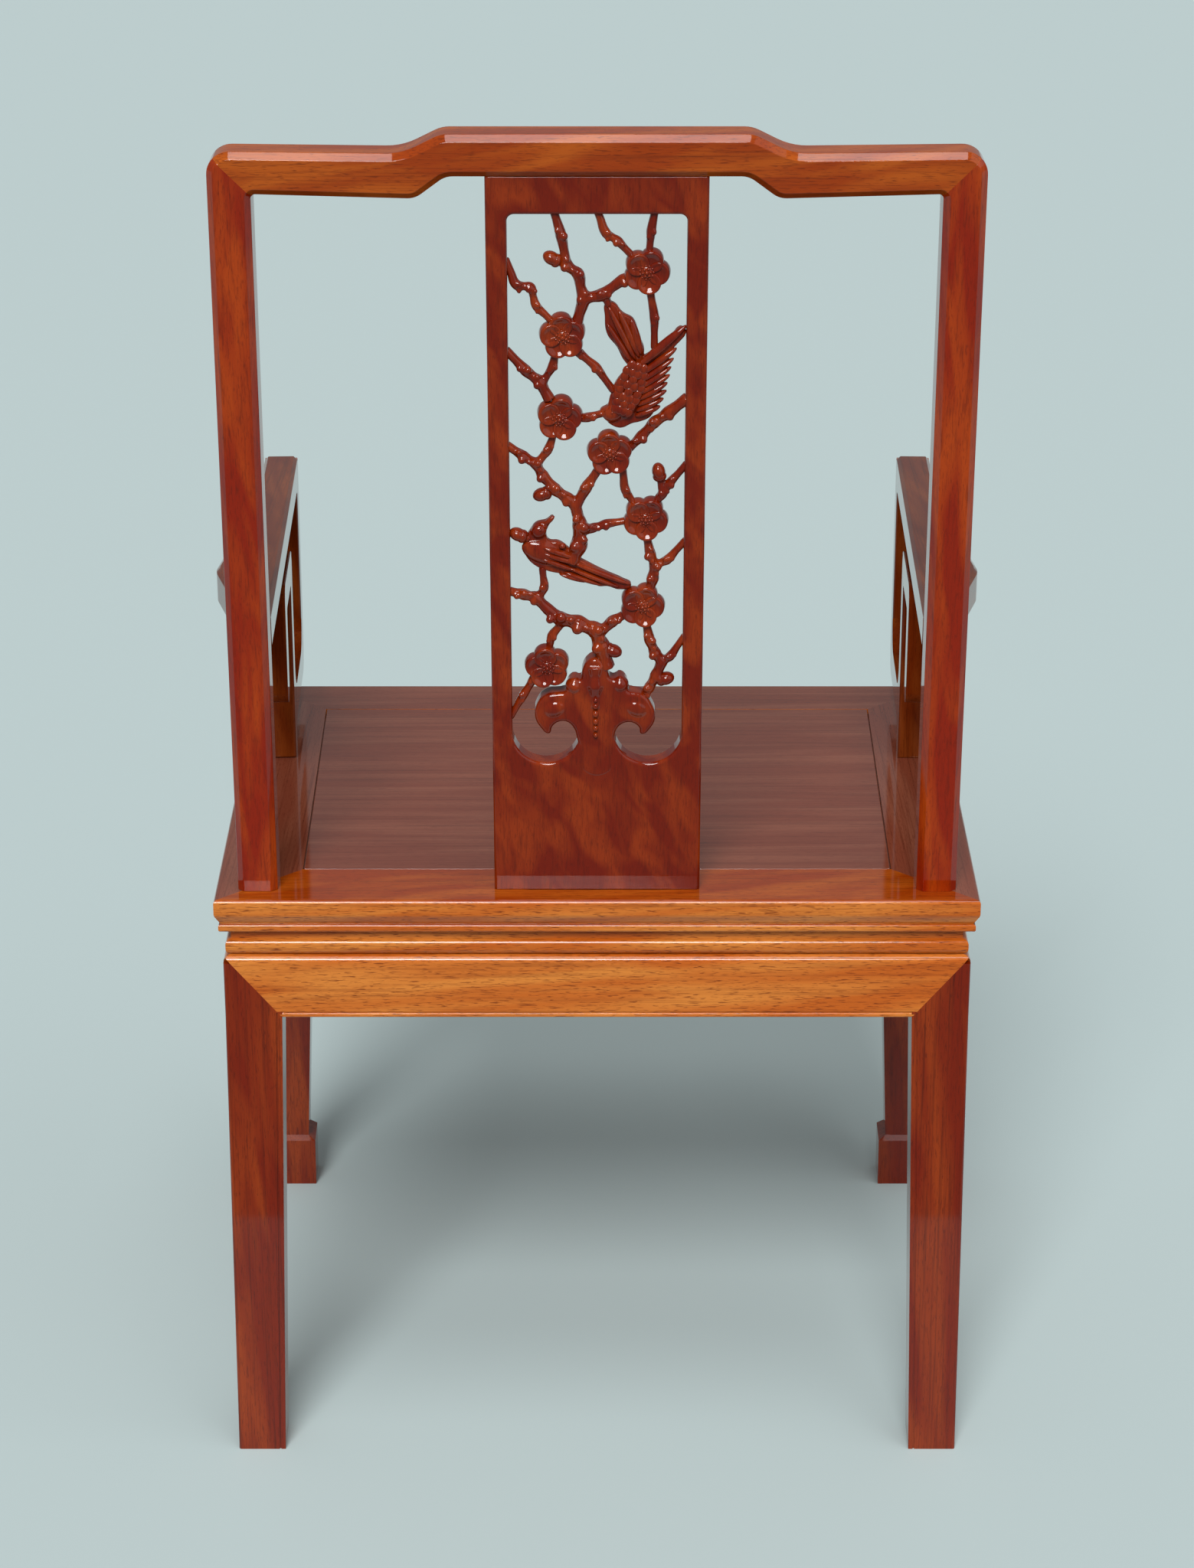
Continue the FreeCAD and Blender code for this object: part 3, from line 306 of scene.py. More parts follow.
def eased(piece, name, surfaces):
    """Rounds a piece's outer edges over, and leaves a hairline round each face that lies on another solid."""
    easing = longest_match(easing_of, name) * MM
    hairline = joint_hairline / easing
    joints = [tree for other, tree in surfaces.items() if other != name]
    on_joint = set()
    for face in piece.data.polygons:
        if any(tree.find_nearest(face.center, contact_reach)[0] for tree in joints):
            on_joint.update(face.edge_keys)
    sharp = sharp_edges(piece)
    weight = piece.data.attributes.new("bevel_weight_edge", "FLOAT", "EDGE")
    for edge in piece.data.edges:
        if edge.key in sharp:
            place = piece.data.vertices[edge.vertices[0]].co
            share = hairline if edge.key in on_joint else easing_share(name, place, hairline)
            weight.data[edge.index].value = share
    only(piece)
    rounding = piece.modifiers.new("eased", "BEVEL")
    rounding.limit_method = "WEIGHT"
    rounding.width = easing
    rounding.segments = easing_segments
    rounding.use_clamp_overlap = name != "splat"
    bpy.ops.object.modifier_apply(modifier=rounding.name)
    bpy.ops.object.shade_smooth_by_angle(angle=smooth_angle)
    # Flat faces stay flat in the lacquer's reflections, right up to their rounded edges
    level = piece.modifiers.new("flat_faces", "WEIGHTED_NORMAL")
    level.keep_sharp = True
    bpy.ops.object.modifier_apply(modifier=level.name)
    return named(piece, name + "_eased")


def surface_of(name):
    """A solid's surface, to find what lies on it."""
    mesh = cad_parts[name].data
    return BVHTree.FromPolygons([v.co for v in mesh.vertices], [p.vertices for p in mesh.polygons])


# The splat is carved lying flat on the bench: x to the right as seen from behind, y up the splat, and z out of
# its rear face. Places on it are shares of the opening: across from -1 to 1, and up from 0 to 1.

def bench(across, up, depth):
    """A place on the bench from shares of the opening and a depth in mm from the back's rear face."""
    return Vector((across * opening_half, up * opening_run, -depth * MM))


def stood_up(piece):
    """Turns a piece from the bench into its place in the raked back."""
    lean = Matrix(((-1, 0, 0), (0, math.sin(rake), math.cos(rake)), (0, math.cos(rake), -math.sin(rake))))
    back_plane = seat_rear_y - back_plane_inset + (opening_bottom - seat_top) * math.tan(rake)
    foot = Vector((0, back_plane, opening_bottom))
    piece.matrix_world = Matrix.Translation(foot) @ lean.to_4x4()
    only(piece)
    bpy.ops.object.transform_apply(location=True, rotation=True, scale=True)
    return piece


def joined(pieces, name):
    """One mesh of several."""
    only(*pieces)
    bpy.ops.object.join()
    return named(bpy.context.view_layer.objects.active, name)


def opening_cutter(low, high, rounded_side, radius):
    """A block to cut the opening with, its corners towards +1, the top, or -1, the bottom, rounded."""
    middle = (low + high) / 2
    bpy.ops.mesh.primitive_cube_add(size=1, location=(middle.x, middle.y, -sum(cutter_depths) / 2 * MM))
    block = bpy.context.object
    block.scale = (high.x - low.x, high.y - low.y, (cutter_depths[1] - cutter_depths[0]) * MM)
    bpy.ops.object.transform_apply(location=True, rotation=True, scale=True)
    bpy.ops.object.mode_set(mode="EDIT")
    bpy.ops.mesh.select_all(action="DESELECT")
    bpy.ops.mesh.select_mode(type="EDGE")
    bpy.ops.object.mode_set(mode="OBJECT")
    for edge in block.data.edges:
        ends = [block.data.vertices[i].co for i in edge.vertices]
        along = abs(ends[0].z - ends[1].z) > MM
        edge.select = along and (ends[0].y - middle.y) * rounded_side > 0
    bpy.ops.object.mode_set(mode="EDIT")
    bpy.ops.mesh.bevel(offset=radius, segments=corner_segments, affect="EDGES", clamp_overlap=False)
    bpy.ops.object.mode_set(mode="OBJECT")
    return stood_up(block)


def splat_board():
    """The splat's board alone, with its opening cleared for the carving."""
    board = merged_copy("splat")
    past = cutter_overshoot
    shoulder = bay_radius * 2
    cutters = [opening_cutter(Vector((-opening_half - past, shoulder)),
                              Vector((opening_half + past, opening_run + past)), 1, opening_corner)]
    for side in (-1, 1):
        left, right = sorted((side * (stem_half - past), side * (opening_half + past)))
        cutters.append(opening_cutter(Vector((left, -past)), Vector((right, shoulder + MM)), -1,
                                      bay_radius * nearly_round))
    for cutter in cutters:
        cut = board.modifiers.new("opening", "BOOLEAN")
        cut.operation = "DIFFERENCE"
        cut.solver = "EXACT"
        cut.object = cutter
        only(board)
        bpy.ops.object.modifier_apply(modifier=cut.name)
        bpy.data.objects.remove(cutter)
    bpy.ops.object.mode_set(mode="EDIT")
    bpy.ops.mesh.select_all(action="SELECT")
    bpy.ops.mesh.remove_doubles(threshold=board_merge_reach)
    bpy.ops.mesh.dissolve_limited(angle_limit=flat_angle)
    bpy.ops.object.mode_set(mode="OBJECT")
    return board


# A branch is deeper than it is wide. It is thin between its places and thick at them.
limb_deeper = 1.25
limb_waist, limb_knuckle = 0.9, 1.16
# Knobs on a branch: how far aside, how far along and how large, then how far out, all as shares of its width
knobs = ((0.26, 0.0, 0.38), (-0.2, 0.6, 0.28))
knob_rise = 0.46


def limb(places, start_width, end_width, deeper=limb_deeper, middle=board_middle):
    """A branch as a rounded rod through its places, tapering, and a little swollen at each of them."""
    line = bpy.data.curves.new("limb", "CURVE")
    line.dimensions = "3D"
    line.resolution_u = 6
    line.bevel_depth = 1.0
    line.bevel_resolution = 3
    line.use_fill_caps = True
    run = line.splines.new("BEZIER")
    points = [bench(across, up, 0) for across, up in places]
    stations = [(points[0], 0.0, 1.0)]
    for i in range(1, len(points)):
        share = i / (len(points) - 1)
        halfway = share - 0.5 / (len(points) - 1)
        stations.append(((points[i - 1] + points[i]) / 2, halfway, limb_waist))
        stations.append((points[i], share, limb_knuckle if i < len(points) - 1 else 1.0))
    run.bezier_points.add(len(stations) - 1)
    for knot, (place, share, swell) in zip(run.bezier_points, stations):
        knot.co = place
        knot.handle_left_type = knot.handle_right_type = "AUTO"
        knot.radius = (start_width + (end_width - start_width) * share) / 2 * MM * swell
    rod = bpy.data.objects.new("limb", line)
    bpy.context.scene.collection.objects.link(rod)
    only(rod)
    bpy.ops.object.convert(target="MESH")
    rod = bpy.context.view_layer.objects.active
    rod.scale.z = deeper
    rod.location.z = -middle * MM
    bpy.ops.object.transform_apply(location=True, rotation=True, scale=True)
    return rod


def pebble(place, reach, turn=0.0):
    """A smooth rounded mass: half lengths along, across and out of the face in mm, turned in its plane."""
    bpy.ops.mesh.primitive_uv_sphere_add(segments=20, ring_count=12, radius=1.0)
    mass = bpy.context.object
    mass.scale = [r * MM for r in reach]
    bpy.ops.object.transform_apply(location=False, rotation=False, scale=True)
    mass.rotation_euler = (0, 0, turn)
    mass.location = place
    bpy.ops.object.transform_apply(location=True, rotation=True, scale=False)
    return mass


def pebbles(table):
    """A pebble for each row of place, depth, half lengths in mm and heading."""
    return [pebble(bench(*place, depth), reach, turn) for place, depth, reach, turn in table]


def knots(places, width):
    """Pairs of small knobs where a branch once budded, one each side of its ridge."""
    made = []
    for i in range(1, len(places) - 1):
        here, before, after = [bench(*places[j], board_middle) for j in (i, i - 1, i + 1)]
        along = (after - before).normalized()
        aside = Vector((-along.y, along.x, 0)) * (1 if i % 2 else -1)
        for sideways, further, size in knobs:
            place = here + aside * width * sideways * MM + along * width * further * MM
            place.z += width * knob_rise * MM
            made.append(pebble(place, [width * size] * 3))
    return made


def plate(places, low, high, rounding):
    """A flat piece sawn to an outline of shares, between two depths, with its edges rounded over."""
    sheet = bpy.data.curves.new("plate", "CURVE")
    sheet.dimensions = "2D"
    sheet.fill_mode = "BOTH"
    sheet.extrude = (low - high) / 2 * MM - rounding * MM
    sheet.bevel_depth = rounding * MM
    sheet.bevel_resolution = 4
    sheet.offset = -rounding * MM
    sheet.resolution_u = 5
    edge = sheet.splines.new("BEZIER")
    edge.bezier_points.add(len(places) - 1)
    for knot, (across, up) in zip(edge.bezier_points, places):
        knot.co = bench(across, up, 0)
        knot.handle_left_type = knot.handle_right_type = "AUTO"
    edge.use_cyclic_u = True
    piece = bpy.data.objects.new("plate", sheet)
    bpy.context.scene.collection.objects.link(piece)
    only(piece)
    bpy.ops.object.convert(target="MESH")
    piece = bpy.context.view_layer.objects.active
    piece.location.z = -(low + high) / 2 * MM
    bpy.ops.object.transform_apply(location=True, rotation=False, scale=False)
    return piece


def blended(piece, voxel):
    """Grows overlapping masses into one skin, as a carver's cuts run into each other."""
    only(piece)
    skin = piece.modifiers.new("skin", "REMESH")
    skin.mode = "VOXEL"
    skin.voxel_size = voxel * MM
    soften = piece.modifiers.new("soften", "SMOOTH")
    soften.factor = 0.5
    soften.iterations = 3
    for modifier in (skin.name, soften.name):
        bpy.ops.object.modifier_apply(modifier=modifier)
    bpy.ops.object.shade_smooth()
    return piece


def carved(pieces, name):
    """Joins finished carving, stands it in the back and gives it the splat's wood."""
    piece = stood_up(joined(pieces, name))
    piece.data.materials.clear()
    piece.data.materials.append(rosewood("splat", "Z"))
    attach(piece, "root")
    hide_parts("splat")
    return piece


# Plum branches as (across, up) shares of the opening, from the thick end to the thin end
trunk_width, bough_width, twig_width = 12.5, 8.8, 6.6
twig_end_share, stalk_end_share = 0.85, 0.8
branch_voxel = 0.9
trunks = [
    ((-0.3, 0.38), (-0.21, 0.41), (-0.195, 0.446), (-0.246, 0.482)),
    ((0.115, 0.18), (0.045, 0.222), (-0.018, 0.25), (-0.215, 0.264), (-0.438, 0.273), (-0.571, 0.29)),
]
boughs = [
    ((-0.246, 0.482), (-0.334, 0.495), (-0.483, 0.513), (-0.622, 0.538), (-0.7, 0.559), (-0.84, 0.573),
     (-1.03, 0.593)),
    ((-0.246, 0.482), (-0.123, 0.516), (0.035, 0.554)),
    ((-0.571, 0.29), (-0.713, 0.312), (-0.855, 0.318), (-1.04, 0.325)),
    ((-0.24, 0.8), (-0.154, 0.852), (-0.213, 0.895), (-0.332, 0.91), (-0.399, 0.961), (-0.51, 1.02)),
    ((-0.154, 0.852), (0.051, 0.859), (0.29, 0.885), (0.44, 0.898)),
    ((-0.538, 0.675), (-0.649, 0.706), (-0.803, 0.726), (-1.03, 0.763)),
    ((0.027, 0.245), (0.179, 0.267), (0.36, 0.284)),
    ((0.764, 0.191), (0.693, 0.163), (0.613, 0.14), (0.52, 0.12)),
    ((0.764, 0.191), (0.682, 0.207), (0.618, 0.232), (0.554, 0.28)),
    ((0.605, 0.325), (0.648, 0.349), (0.67, 0.372), (0.62, 0.393), (0.556, 0.439)),
    ((1.03, 0.678), (0.808, 0.651), (0.652, 0.634), (0.505, 0.609), (0.35, 0.585)),
]
twigs = [
    ((-0.04, 1.02), (0.102, 0.965), (0.229, 0.952), (0.4, 0.925)),
    ((0.66, 1.02), (0.602, 0.969), (0.58, 0.93)),
    ((-1.03, 0.921), (-0.896, 0.876), (-0.743, 0.872), (-0.685, 0.841), (-0.46, 0.805)),
    ((-0.457, 0.765), (-0.5, 0.735), (-0.61, 0.705)),
    ((-0.3, 0.775), (-0.215, 0.76), (-0.009, 0.732), (0.19, 0.69)),
    ((0.58, 0.88), (0.643, 0.82), (0.646, 0.765)),
    ((0.085, 0.866), (0.13, 0.84)),
    ((-0.3, 0.64), (-0.104, 0.643), (0.1, 0.652)),
    ((-0.68, 0.56), (-0.559, 0.585), (-0.45, 0.63)),
    ((-0.203, 0.432), (-0.044, 0.442), (0.097, 0.449), (0.4, 0.457)),
    ((0.28, 0.565), (0.325, 0.512), (0.45, 0.48)),
    ((0.6, 0.478), (0.755, 0.505), (0.833, 0.524), (1.03, 0.56)),
    ((0.67, 0.372), (0.815, 0.383), (1.03, 0.42)),
    ((-0.686, 0.308), (-0.614, 0.332), (-0.635, 0.37)),
    ((-0.393, 0.268), (-0.528, 0.24), (-0.583, 0.2)),
    ((0.764, 0.191), (0.853, 0.2), (1.03, 0.24)),
    ((-0.66, 0.17), (-0.739, 0.159), (-0.867, 0.127), (-1.03, 0.083)),
]
# Each bud's place, then the place on a branch that its stalk springs from
buds = [((-0.493, 0.922), (-0.324, 0.908)), ((-0.623, 0.505), (-0.46, 0.513)),
        ((0.709, 0.544), (0.755, 0.508)), ((0.179, 0.213), (0.05, 0.22)),
        ((0.793, 0.159), (0.68, 0.155)), ((-0.901, 0.43), (-0.78, 0.422))]
# Each flower's place, and the heading of one of its petals in degrees from the right
flowers = [((0.554, 0.901), 66), ((-0.387, 0.788), 98), ((-0.426, 0.643), 80), ((0.148, 0.58), 96),
           ((0.559, 0.461), 60), ((0.526, 0.299), 70), ((-0.584, 0.183), 28)]


def branches():
    """All the branches, grown into one another, with their knobs and the stalks of the buds."""
    made = []
    for group, start, end in ((trunks, trunk_width, bough_width), (boughs, bough_width, twig_width),
                              (twigs, twig_width, twig_width * twig_end_share)):
        for places in group:
            made.append(limb(places, start, end))
            made += knots(places, (start + end) / 2)
    for place, root in buds:
        made.append(limb((root, place), twig_width, twig_width * stalk_end_share))
    return blended(joined(made, "branches"), branch_voxel)


# Blossoms, with sizes in mm and angles in radians. A bud: half lengths of its body and of its cup, how far the
# one stands before its place and the other behind it, and how far it is raised above its stalk.
bud_body, bud_cup = (6.4, 4.7, 5.6), (4.0, 4.9, 5.0)
bud_forward, bud_backward, bud_raised = 0.88, 2.64, 1.0
# A petal: its radius and height, the rings of its dish as shares of its radius and how far each one sinks, and
# how much wider than long it is
petal_radius, petal_height = 7.9, 11.0
petal_rings = ((0.12, 0.0), (0.16, -0.3), (0.24, -1.1), (0.25, -0.5))
petal_underside = (0.3, 1.0)
petal_wider = 1.08
petal_sides = 18
# A flower: how far out its petals stand, how they lean and by turns lie higher or lower, the height and half
# lengths of its heart's masses, and its rings of stamens by radius, count and height
flower_raised = 0.6
petals_out, petal_lean, petal_lifts = 8.6, 0.16, (-0.2, 0.3)
flower_heart = ((1.6, (5.8, 5.8, 4.0)), (5.8, (1.3, 1.3, 1.1)))
stamen_rings = ((2.6, 6, 5.2), (4.6, 11, 4.2))
stamen_radius = 0.95
# A face looks straight up or down when this share of its normal does
straight = 0.9


def bud(place, root):
    """A closed bud: a rounded oval in a small cup."""
    tip, foot = bench(*place, board_middle - bud_raised), bench(*root, board_middle)
    turn = math.atan2(tip.y - foot.y, tip.x - foot.x)
    outward = Vector((math.cos(turn), math.sin(turn), 0)) * MM
    return [pebble(tip + outward * bud_forward, bud_body, turn),
            pebble(tip - outward * bud_backward, bud_cup, turn)]


def facing(piece, up):
    """Selects in edit mode the faces that look straight up, or with -1 straight down."""
    bpy.ops.object.mode_set(mode="EDIT")
    bpy.ops.mesh.select_mode(type="FACE")
    bpy.ops.mesh.select_all(action="DESELECT")
    bpy.ops.object.mode_set(mode="OBJECT")
    for face in piece.data.polygons:
        face.select = face.normal.z * up > straight
    bpy.ops.object.mode_set(mode="EDIT")


def petal():
    """One cupped petal at the bench's origin: a drum whose top is sunk to a dish inside a rolled rim."""
    radius = petal_radius * MM
    bpy.ops.mesh.primitive_cylinder_add(vertices=petal_sides, radius=radius, depth=petal_height * MM,
                                        end_fill_type="NGON")
    cup = bpy.context.object
    facing(cup, 1)
    for share, sink in petal_rings:
        bpy.ops.mesh.inset(thickness=radius * share, depth=sink * MM)
    facing(cup, -1)
    bpy.ops.mesh.inset(thickness=radius * petal_underside[0], depth=petal_underside[1] * MM)
    bpy.ops.object.mode_set(mode="OBJECT")
    round_off = cup.modifiers.new("round", "SUBSURF")
    round_off.levels = round_off.render_levels = 1
    bpy.ops.object.modifier_apply(modifier=round_off.name)
    cup.scale = (1.0, petal_wider, 1.0)
    bpy.ops.object.transform_apply(location=False, rotation=False, scale=True)
    return cup


def copied(piece, matrix):
    """Another of the same shape, with its own mesh, moved to its place."""
    mesh = piece.data.copy()
    mesh.transform(matrix)
    another = bpy.data.objects.new(piece.name, mesh)
    bpy.context.scene.collection.objects.link(another)
    return another


def plum_flower():
    """A plum flower at the bench's origin: five cupped petals round a domed heart set with stamens."""
    cup = petal()
    lean = Matrix.Rotation(-petal_lean, 4, "Y")
    made = []
    for i in range(5):
        turn = Matrix.Rotation(math.tau * i / 5, 4, "Z")
        outward = Matrix.Translation((petals_out * MM, 0, petal_lifts[i % 2] * MM))
        made.append(copied(cup, turn @ outward @ lean))
    bpy.data.objects.remove(cup)
    for height, reach in flower_heart:
        made.append(pebble(Vector((0, 0, height * MM)), reach))
    for ring, count, height in stamen_rings:
        for i in range(count):
            angle = math.tau * i / count
            place = Vector((ring * math.cos(angle), ring * math.sin(angle), height)) * MM
            bpy.ops.mesh.primitive_ico_sphere_add(subdivisions=2, radius=stamen_radius * MM, location=place)
            bpy.ops.object.transform_apply(location=True, rotation=False, scale=False)
            made.append(bpy.context.object)
    smoothed(*made)
    return joined(made, "plum_flower")


def blossoms():
    """The seven flowers and six buds."""
    pattern = plum_flower()
    made = []
    for place, heading in flowers:
        seat = Matrix.Translation(bench(*place, board_middle - flower_raised))
        made.append(copied(pattern, seat @ Matrix.Rotation(math.radians(heading), 4, "Z")))
    bpy.data.objects.remove(pattern)
    for place, root in buds:
        parts = bud(place, root)
        smoothed(*parts)
        made += parts
    return made


# Birds: outlines and feathers as shares of the opening
upper_body = [(0.026, 0.653), (0.147, 0.669), (0.182, 0.698), (0.345, 0.73), (0.474, 0.746), (0.603, 0.759),
              (0.766, 0.775), (0.98, 0.802), (0.836, 0.759), (0.8, 0.737), (0.76, 0.714), (0.73, 0.69),
              (0.668, 0.662), (0.608, 0.645), (0.487, 0.636), (0.4, 0.633), (0.279, 0.625), (0.174, 0.629),
              (0.087, 0.641)]
tail_leaf = [(0.1, 0.846), (0.183, 0.846), (0.29, 0.828), (0.41, 0.817), (0.47, 0.791), (0.531, 0.757),
             (0.412, 0.731), (0.316, 0.742), (0.22, 0.769), (0.112, 0.791), (0.086, 0.822)]
# Each feather's root, tip and width in mm
wing_feathers = [((0.45, 0.735), (1.01, 0.808), 6.5), ((0.47, 0.72), (0.9, 0.768), 5.5),
                 ((0.47, 0.708), (0.868, 0.75), 5.0), ((0.47, 0.697), (0.84, 0.735), 5.0),
                 ((0.47, 0.687), (0.826, 0.721), 5.0), ((0.46, 0.677), (0.8, 0.707), 5.0),
                 ((0.45, 0.667), (0.79, 0.693), 5.0), ((0.44, 0.657), (0.757, 0.679), 5.0),
                 ((0.43, 0.648), (0.72, 0.665), 5.0)]
tail_feathers = [((0.44, 0.745), (0.125, 0.842), 5.0), ((0.4, 0.74), (0.11, 0.812), 5.0),
                 ((0.48, 0.75), (0.24, 0.835), 5.5), ((0.5, 0.755), (0.38, 0.82), 6.0)]
lower_body = [(-0.858, 0.402), (-0.844, 0.42), (-0.777, 0.437), (-0.705, 0.451), (-0.59, 0.456),
              (-0.5, 0.463), (-0.556, 0.447), (-0.583, 0.433), (-0.557, 0.42), (-0.442, 0.417), (-0.318, 0.403),
              (-0.23, 0.389), (-0.08, 0.375), (0.123, 0.359), (0.294, 0.347), (0.4, 0.335), (0.26, 0.328),
              (0.123, 0.334), (0.021, 0.334), (-0.065, 0.34), (-0.253, 0.346), (-0.389, 0.356), (-0.56, 0.362),
              (-0.73, 0.374), (-0.831, 0.392)]
long_tail = [((-0.3, 0.382), (0.4, 0.338), 4.6), ((-0.34, 0.372), (0.27, 0.333), 4.2),
             ((-0.38, 0.363), (0.06, 0.337), 4.0), ((-0.44, 0.36), (-0.1, 0.343), 3.8)]
folded_wing = [((-0.63, 0.41), (-0.22, 0.388), 4.8), ((-0.65, 0.4), (-0.18, 0.377), 4.8),
               ((-0.66, 0.39), (-0.26, 0.366), 4.6)]
# Each fan of feathers: how deep the root of its first one is and how much deeper each next one's, then the same
# for their tips, in mm
fans = [(wing_feathers, 6.2, 0.12, 8.6, 0.0), (tail_feathers, 8.2, 0.0, 7.6, 0.3),
        (long_tail, 7.4, 0.0, 8.6, 0.2), (folded_wing, 5.8, 0.5, 7.4, 0.3)]
feather_thick = 3.4
# The birds' flat bodies: depths of their front and rear faces, and the rounding of their edges, in mm
upper_depths, tail_depths, lower_depths = (15.5, 8.0), (15.0, 8.2), (15.5, 8.2)
body_round = 1.8
bird_voxel = 0.7
# Rounded masses: place, depth, half lengths along, across and out in mm, and heading in radians. Each bird has
# a breast, a head and a bill. Then come both eyes and a tuft on the perched bird's back.
upper_masses = [((0.35, 0.683), 9.6, (21, 11.5, 4.4), math.atan2(0.1 * opening_run, 0.34 * opening_half)),
                ((0.18, 0.652), 8.6, (7.4, 6.0, 4.8), 0.3), ((0.06, 0.651), 8.6, (5.4, 1.9, 2.2), 0.05)]
lower_masses = [((-0.63, 0.398), 9.2, (15.5, 8.4, 4.8), -0.35), ((-0.67, 0.438), 8.6, (5.6, 5.2, 4.4), 0.6),
                ((-0.55, 0.457), 8.8, (5.2, 1.8, 2.0), 0.75)]
small_masses = [((0.17, 0.656), 4.2, (1.1, 1.1, 0.8), 0.0), ((-0.655, 0.443), 4.5, (0.95, 0.95, 0.7), 0.0),
                ((-0.4, 0.412), 7.0, (2.6, 2.2, 2.6), 0.0)]
# The upper bird's scaled breast: its two ends, then in mm its width, depth and how far its sides round down.
# Its width follows part of a half wave, from the first share and over the second. Then come its rows of scales,
# the fewest scales in a row, and a scale's half lengths in mm.
breast_ends = ((0.47, 0.742), (0.27, 0.655))
breast_width, breast_depth, breast_crown = 19, 4.4, 1.9
breast_wave = (0.2, 0.62)
scale_rows, fewest_scales = 8, 3
scale_reach = (3.9, 3.2, 1.9)


def feather(root, tip, width, root_depth, tip_depth):
    """A long feather, rounded across, that dips towards its tip."""
    start, end = bench(*root, root_depth), bench(*tip, tip_depth)
    run = end - start
    half_length = math.hypot(run.x, run.y) / MM / 2
    vane = pebble((start + end) / 2, (half_length, width / 2, feather_thick), math.atan2(run.y, run.x))
    for vertex in vane.data.vertices:
        along = (vertex.co - start).dot(run) / run.length_squared
        vertex.co.z += (along - 0.5) * run.z
    return vane


def scales():
    """Overlapping rounded scales of breast feathers, in rows between two places of the upper bird's body."""
    start, end = [bench(*place, breast_depth) for place in breast_ends]
    along = (end - start).normalized()
    aside = Vector((-along.y, along.x, 0))
    made = []
    for row in range(scale_rows):
        share = (row + 0.5) / scale_rows
        spread = breast_width * math.sin(math.pi * (breast_wave[0] + breast_wave[1] * share))
        count = fewest_scales + row % 2
        for i in range(count):
            sideways = ((i + 0.5) / count - 0.5) * spread
            dip = breast_crown * (2 * sideways / breast_width) ** 2
            place = start.lerp(end, share) + aside * sideways * MM - Vector((0, 0, dip * MM))
            made.append(pebble(place, scale_reach, math.atan2(along.y, along.x)))
    return made


def birds():
    """A bird alighting with spread wing and raised tail, and one perched with a long tail."""
    upper = [plate(upper_body, *upper_depths, body_round), plate(tail_leaf, *tail_depths, body_round)]
    upper += pebbles(upper_masses)
    lower = [plate(lower_body, *lower_depths, body_round)] + pebbles(lower_masses)
    skin = [blended(joined(upper, "upper"), bird_voxel), blended(joined(lower, "lower"), bird_voxel)]
    crisp = []
    for feathers, root_depth, root_step, tip_depth, tip_step in fans:
        for i, (root, tip, width) in enumerate(feathers):
            crisp.append(feather(root, tip, width, root_depth + root_step * i, tip_depth + tip_step * i))
    crisp += scales() + pebbles(small_masses)
    smoothed(*crisp)
    return skin + crisp


# Cloud-head scroll at the foot of the opening, clockwise from the top of its finger
scroll_outline = [
    (-0.02, 0.203), (0.07, 0.196), (0.125, 0.181), (0.15, 0.165), (0.2, 0.162), (0.27, 0.167), (0.345, 0.158),
    (0.372, 0.139), (0.45, 0.136), (0.55, 0.132), (0.645, 0.113), (0.69, 0.09), (0.64, 0.068), (0.52, 0.055),
    (0.5, 0.067), (0.42, 0.077), (0.33, 0.077), (0.245, 0.067), (0.205, 0.048), (0.2, 0.02), (0.16, -0.02),
    (-0.16, -0.02), (-0.2, 0.02), (-0.24, 0.048), (-0.275, 0.066), (-0.36, 0.079), (-0.45, 0.079),
    (-0.53, 0.069), (-0.565, 0.056), (-0.67, 0.068), (-0.735, 0.09), (-0.7, 0.116), (-0.6, 0.132),
    (-0.46, 0.136), (-0.372, 0.139), (-0.338, 0.156), (-0.262, 0.164), (-0.195, 0.161), (-0.175, 0.178),
    (-0.12, 0.195)]
# Depths of its front and rear faces, and the rounding of its edges, in mm. It is made thicker than it is, then
# cut flat at its front.
scroll_depths, scroll_round = (21.8, 3.6), 3.4
scroll_front = 18.4
scroll_voxel = 0.8
# Its finger, then that finger's first and last width, how much deeper than wide it is, and its depth
finger = ((-0.02, 0.187), (-0.02, 0.15), (-0.02, 0.11))
finger_form = (15.5, 13.0, 1.3, 10.2)
# Its two curls and two heads, in rows like those of the birds' masses
scroll_masses = [((-0.27, 0.147), 9.0, (6.4, 6.0, 7.2), 0.0), ((0.27, 0.15), 9.0, (6.4, 6.0, 7.2), 0.0),
                 ((-0.5, 0.106), 8.6, (11.0, 8.0, 7.4), 0.35), ((0.47, 0.106), 8.6, (11.0, 8.0, 7.4), -0.35)]
# The string of drops down its middle: where it runs, its depth, each one's place and size, and a drop's half
# lengths along and across as shares of its size, and out in mm
drops_across, drops_depth = -0.018, 2.6
drop_shares, drop_out = (1.05, 1.3), 2.3
scroll_drops = [(0.125, 1.5), (0.113, 1.9), (0.098, 2.1), (0.083, 1.9), (0.07, 1.8), (0.057, 1.6)]


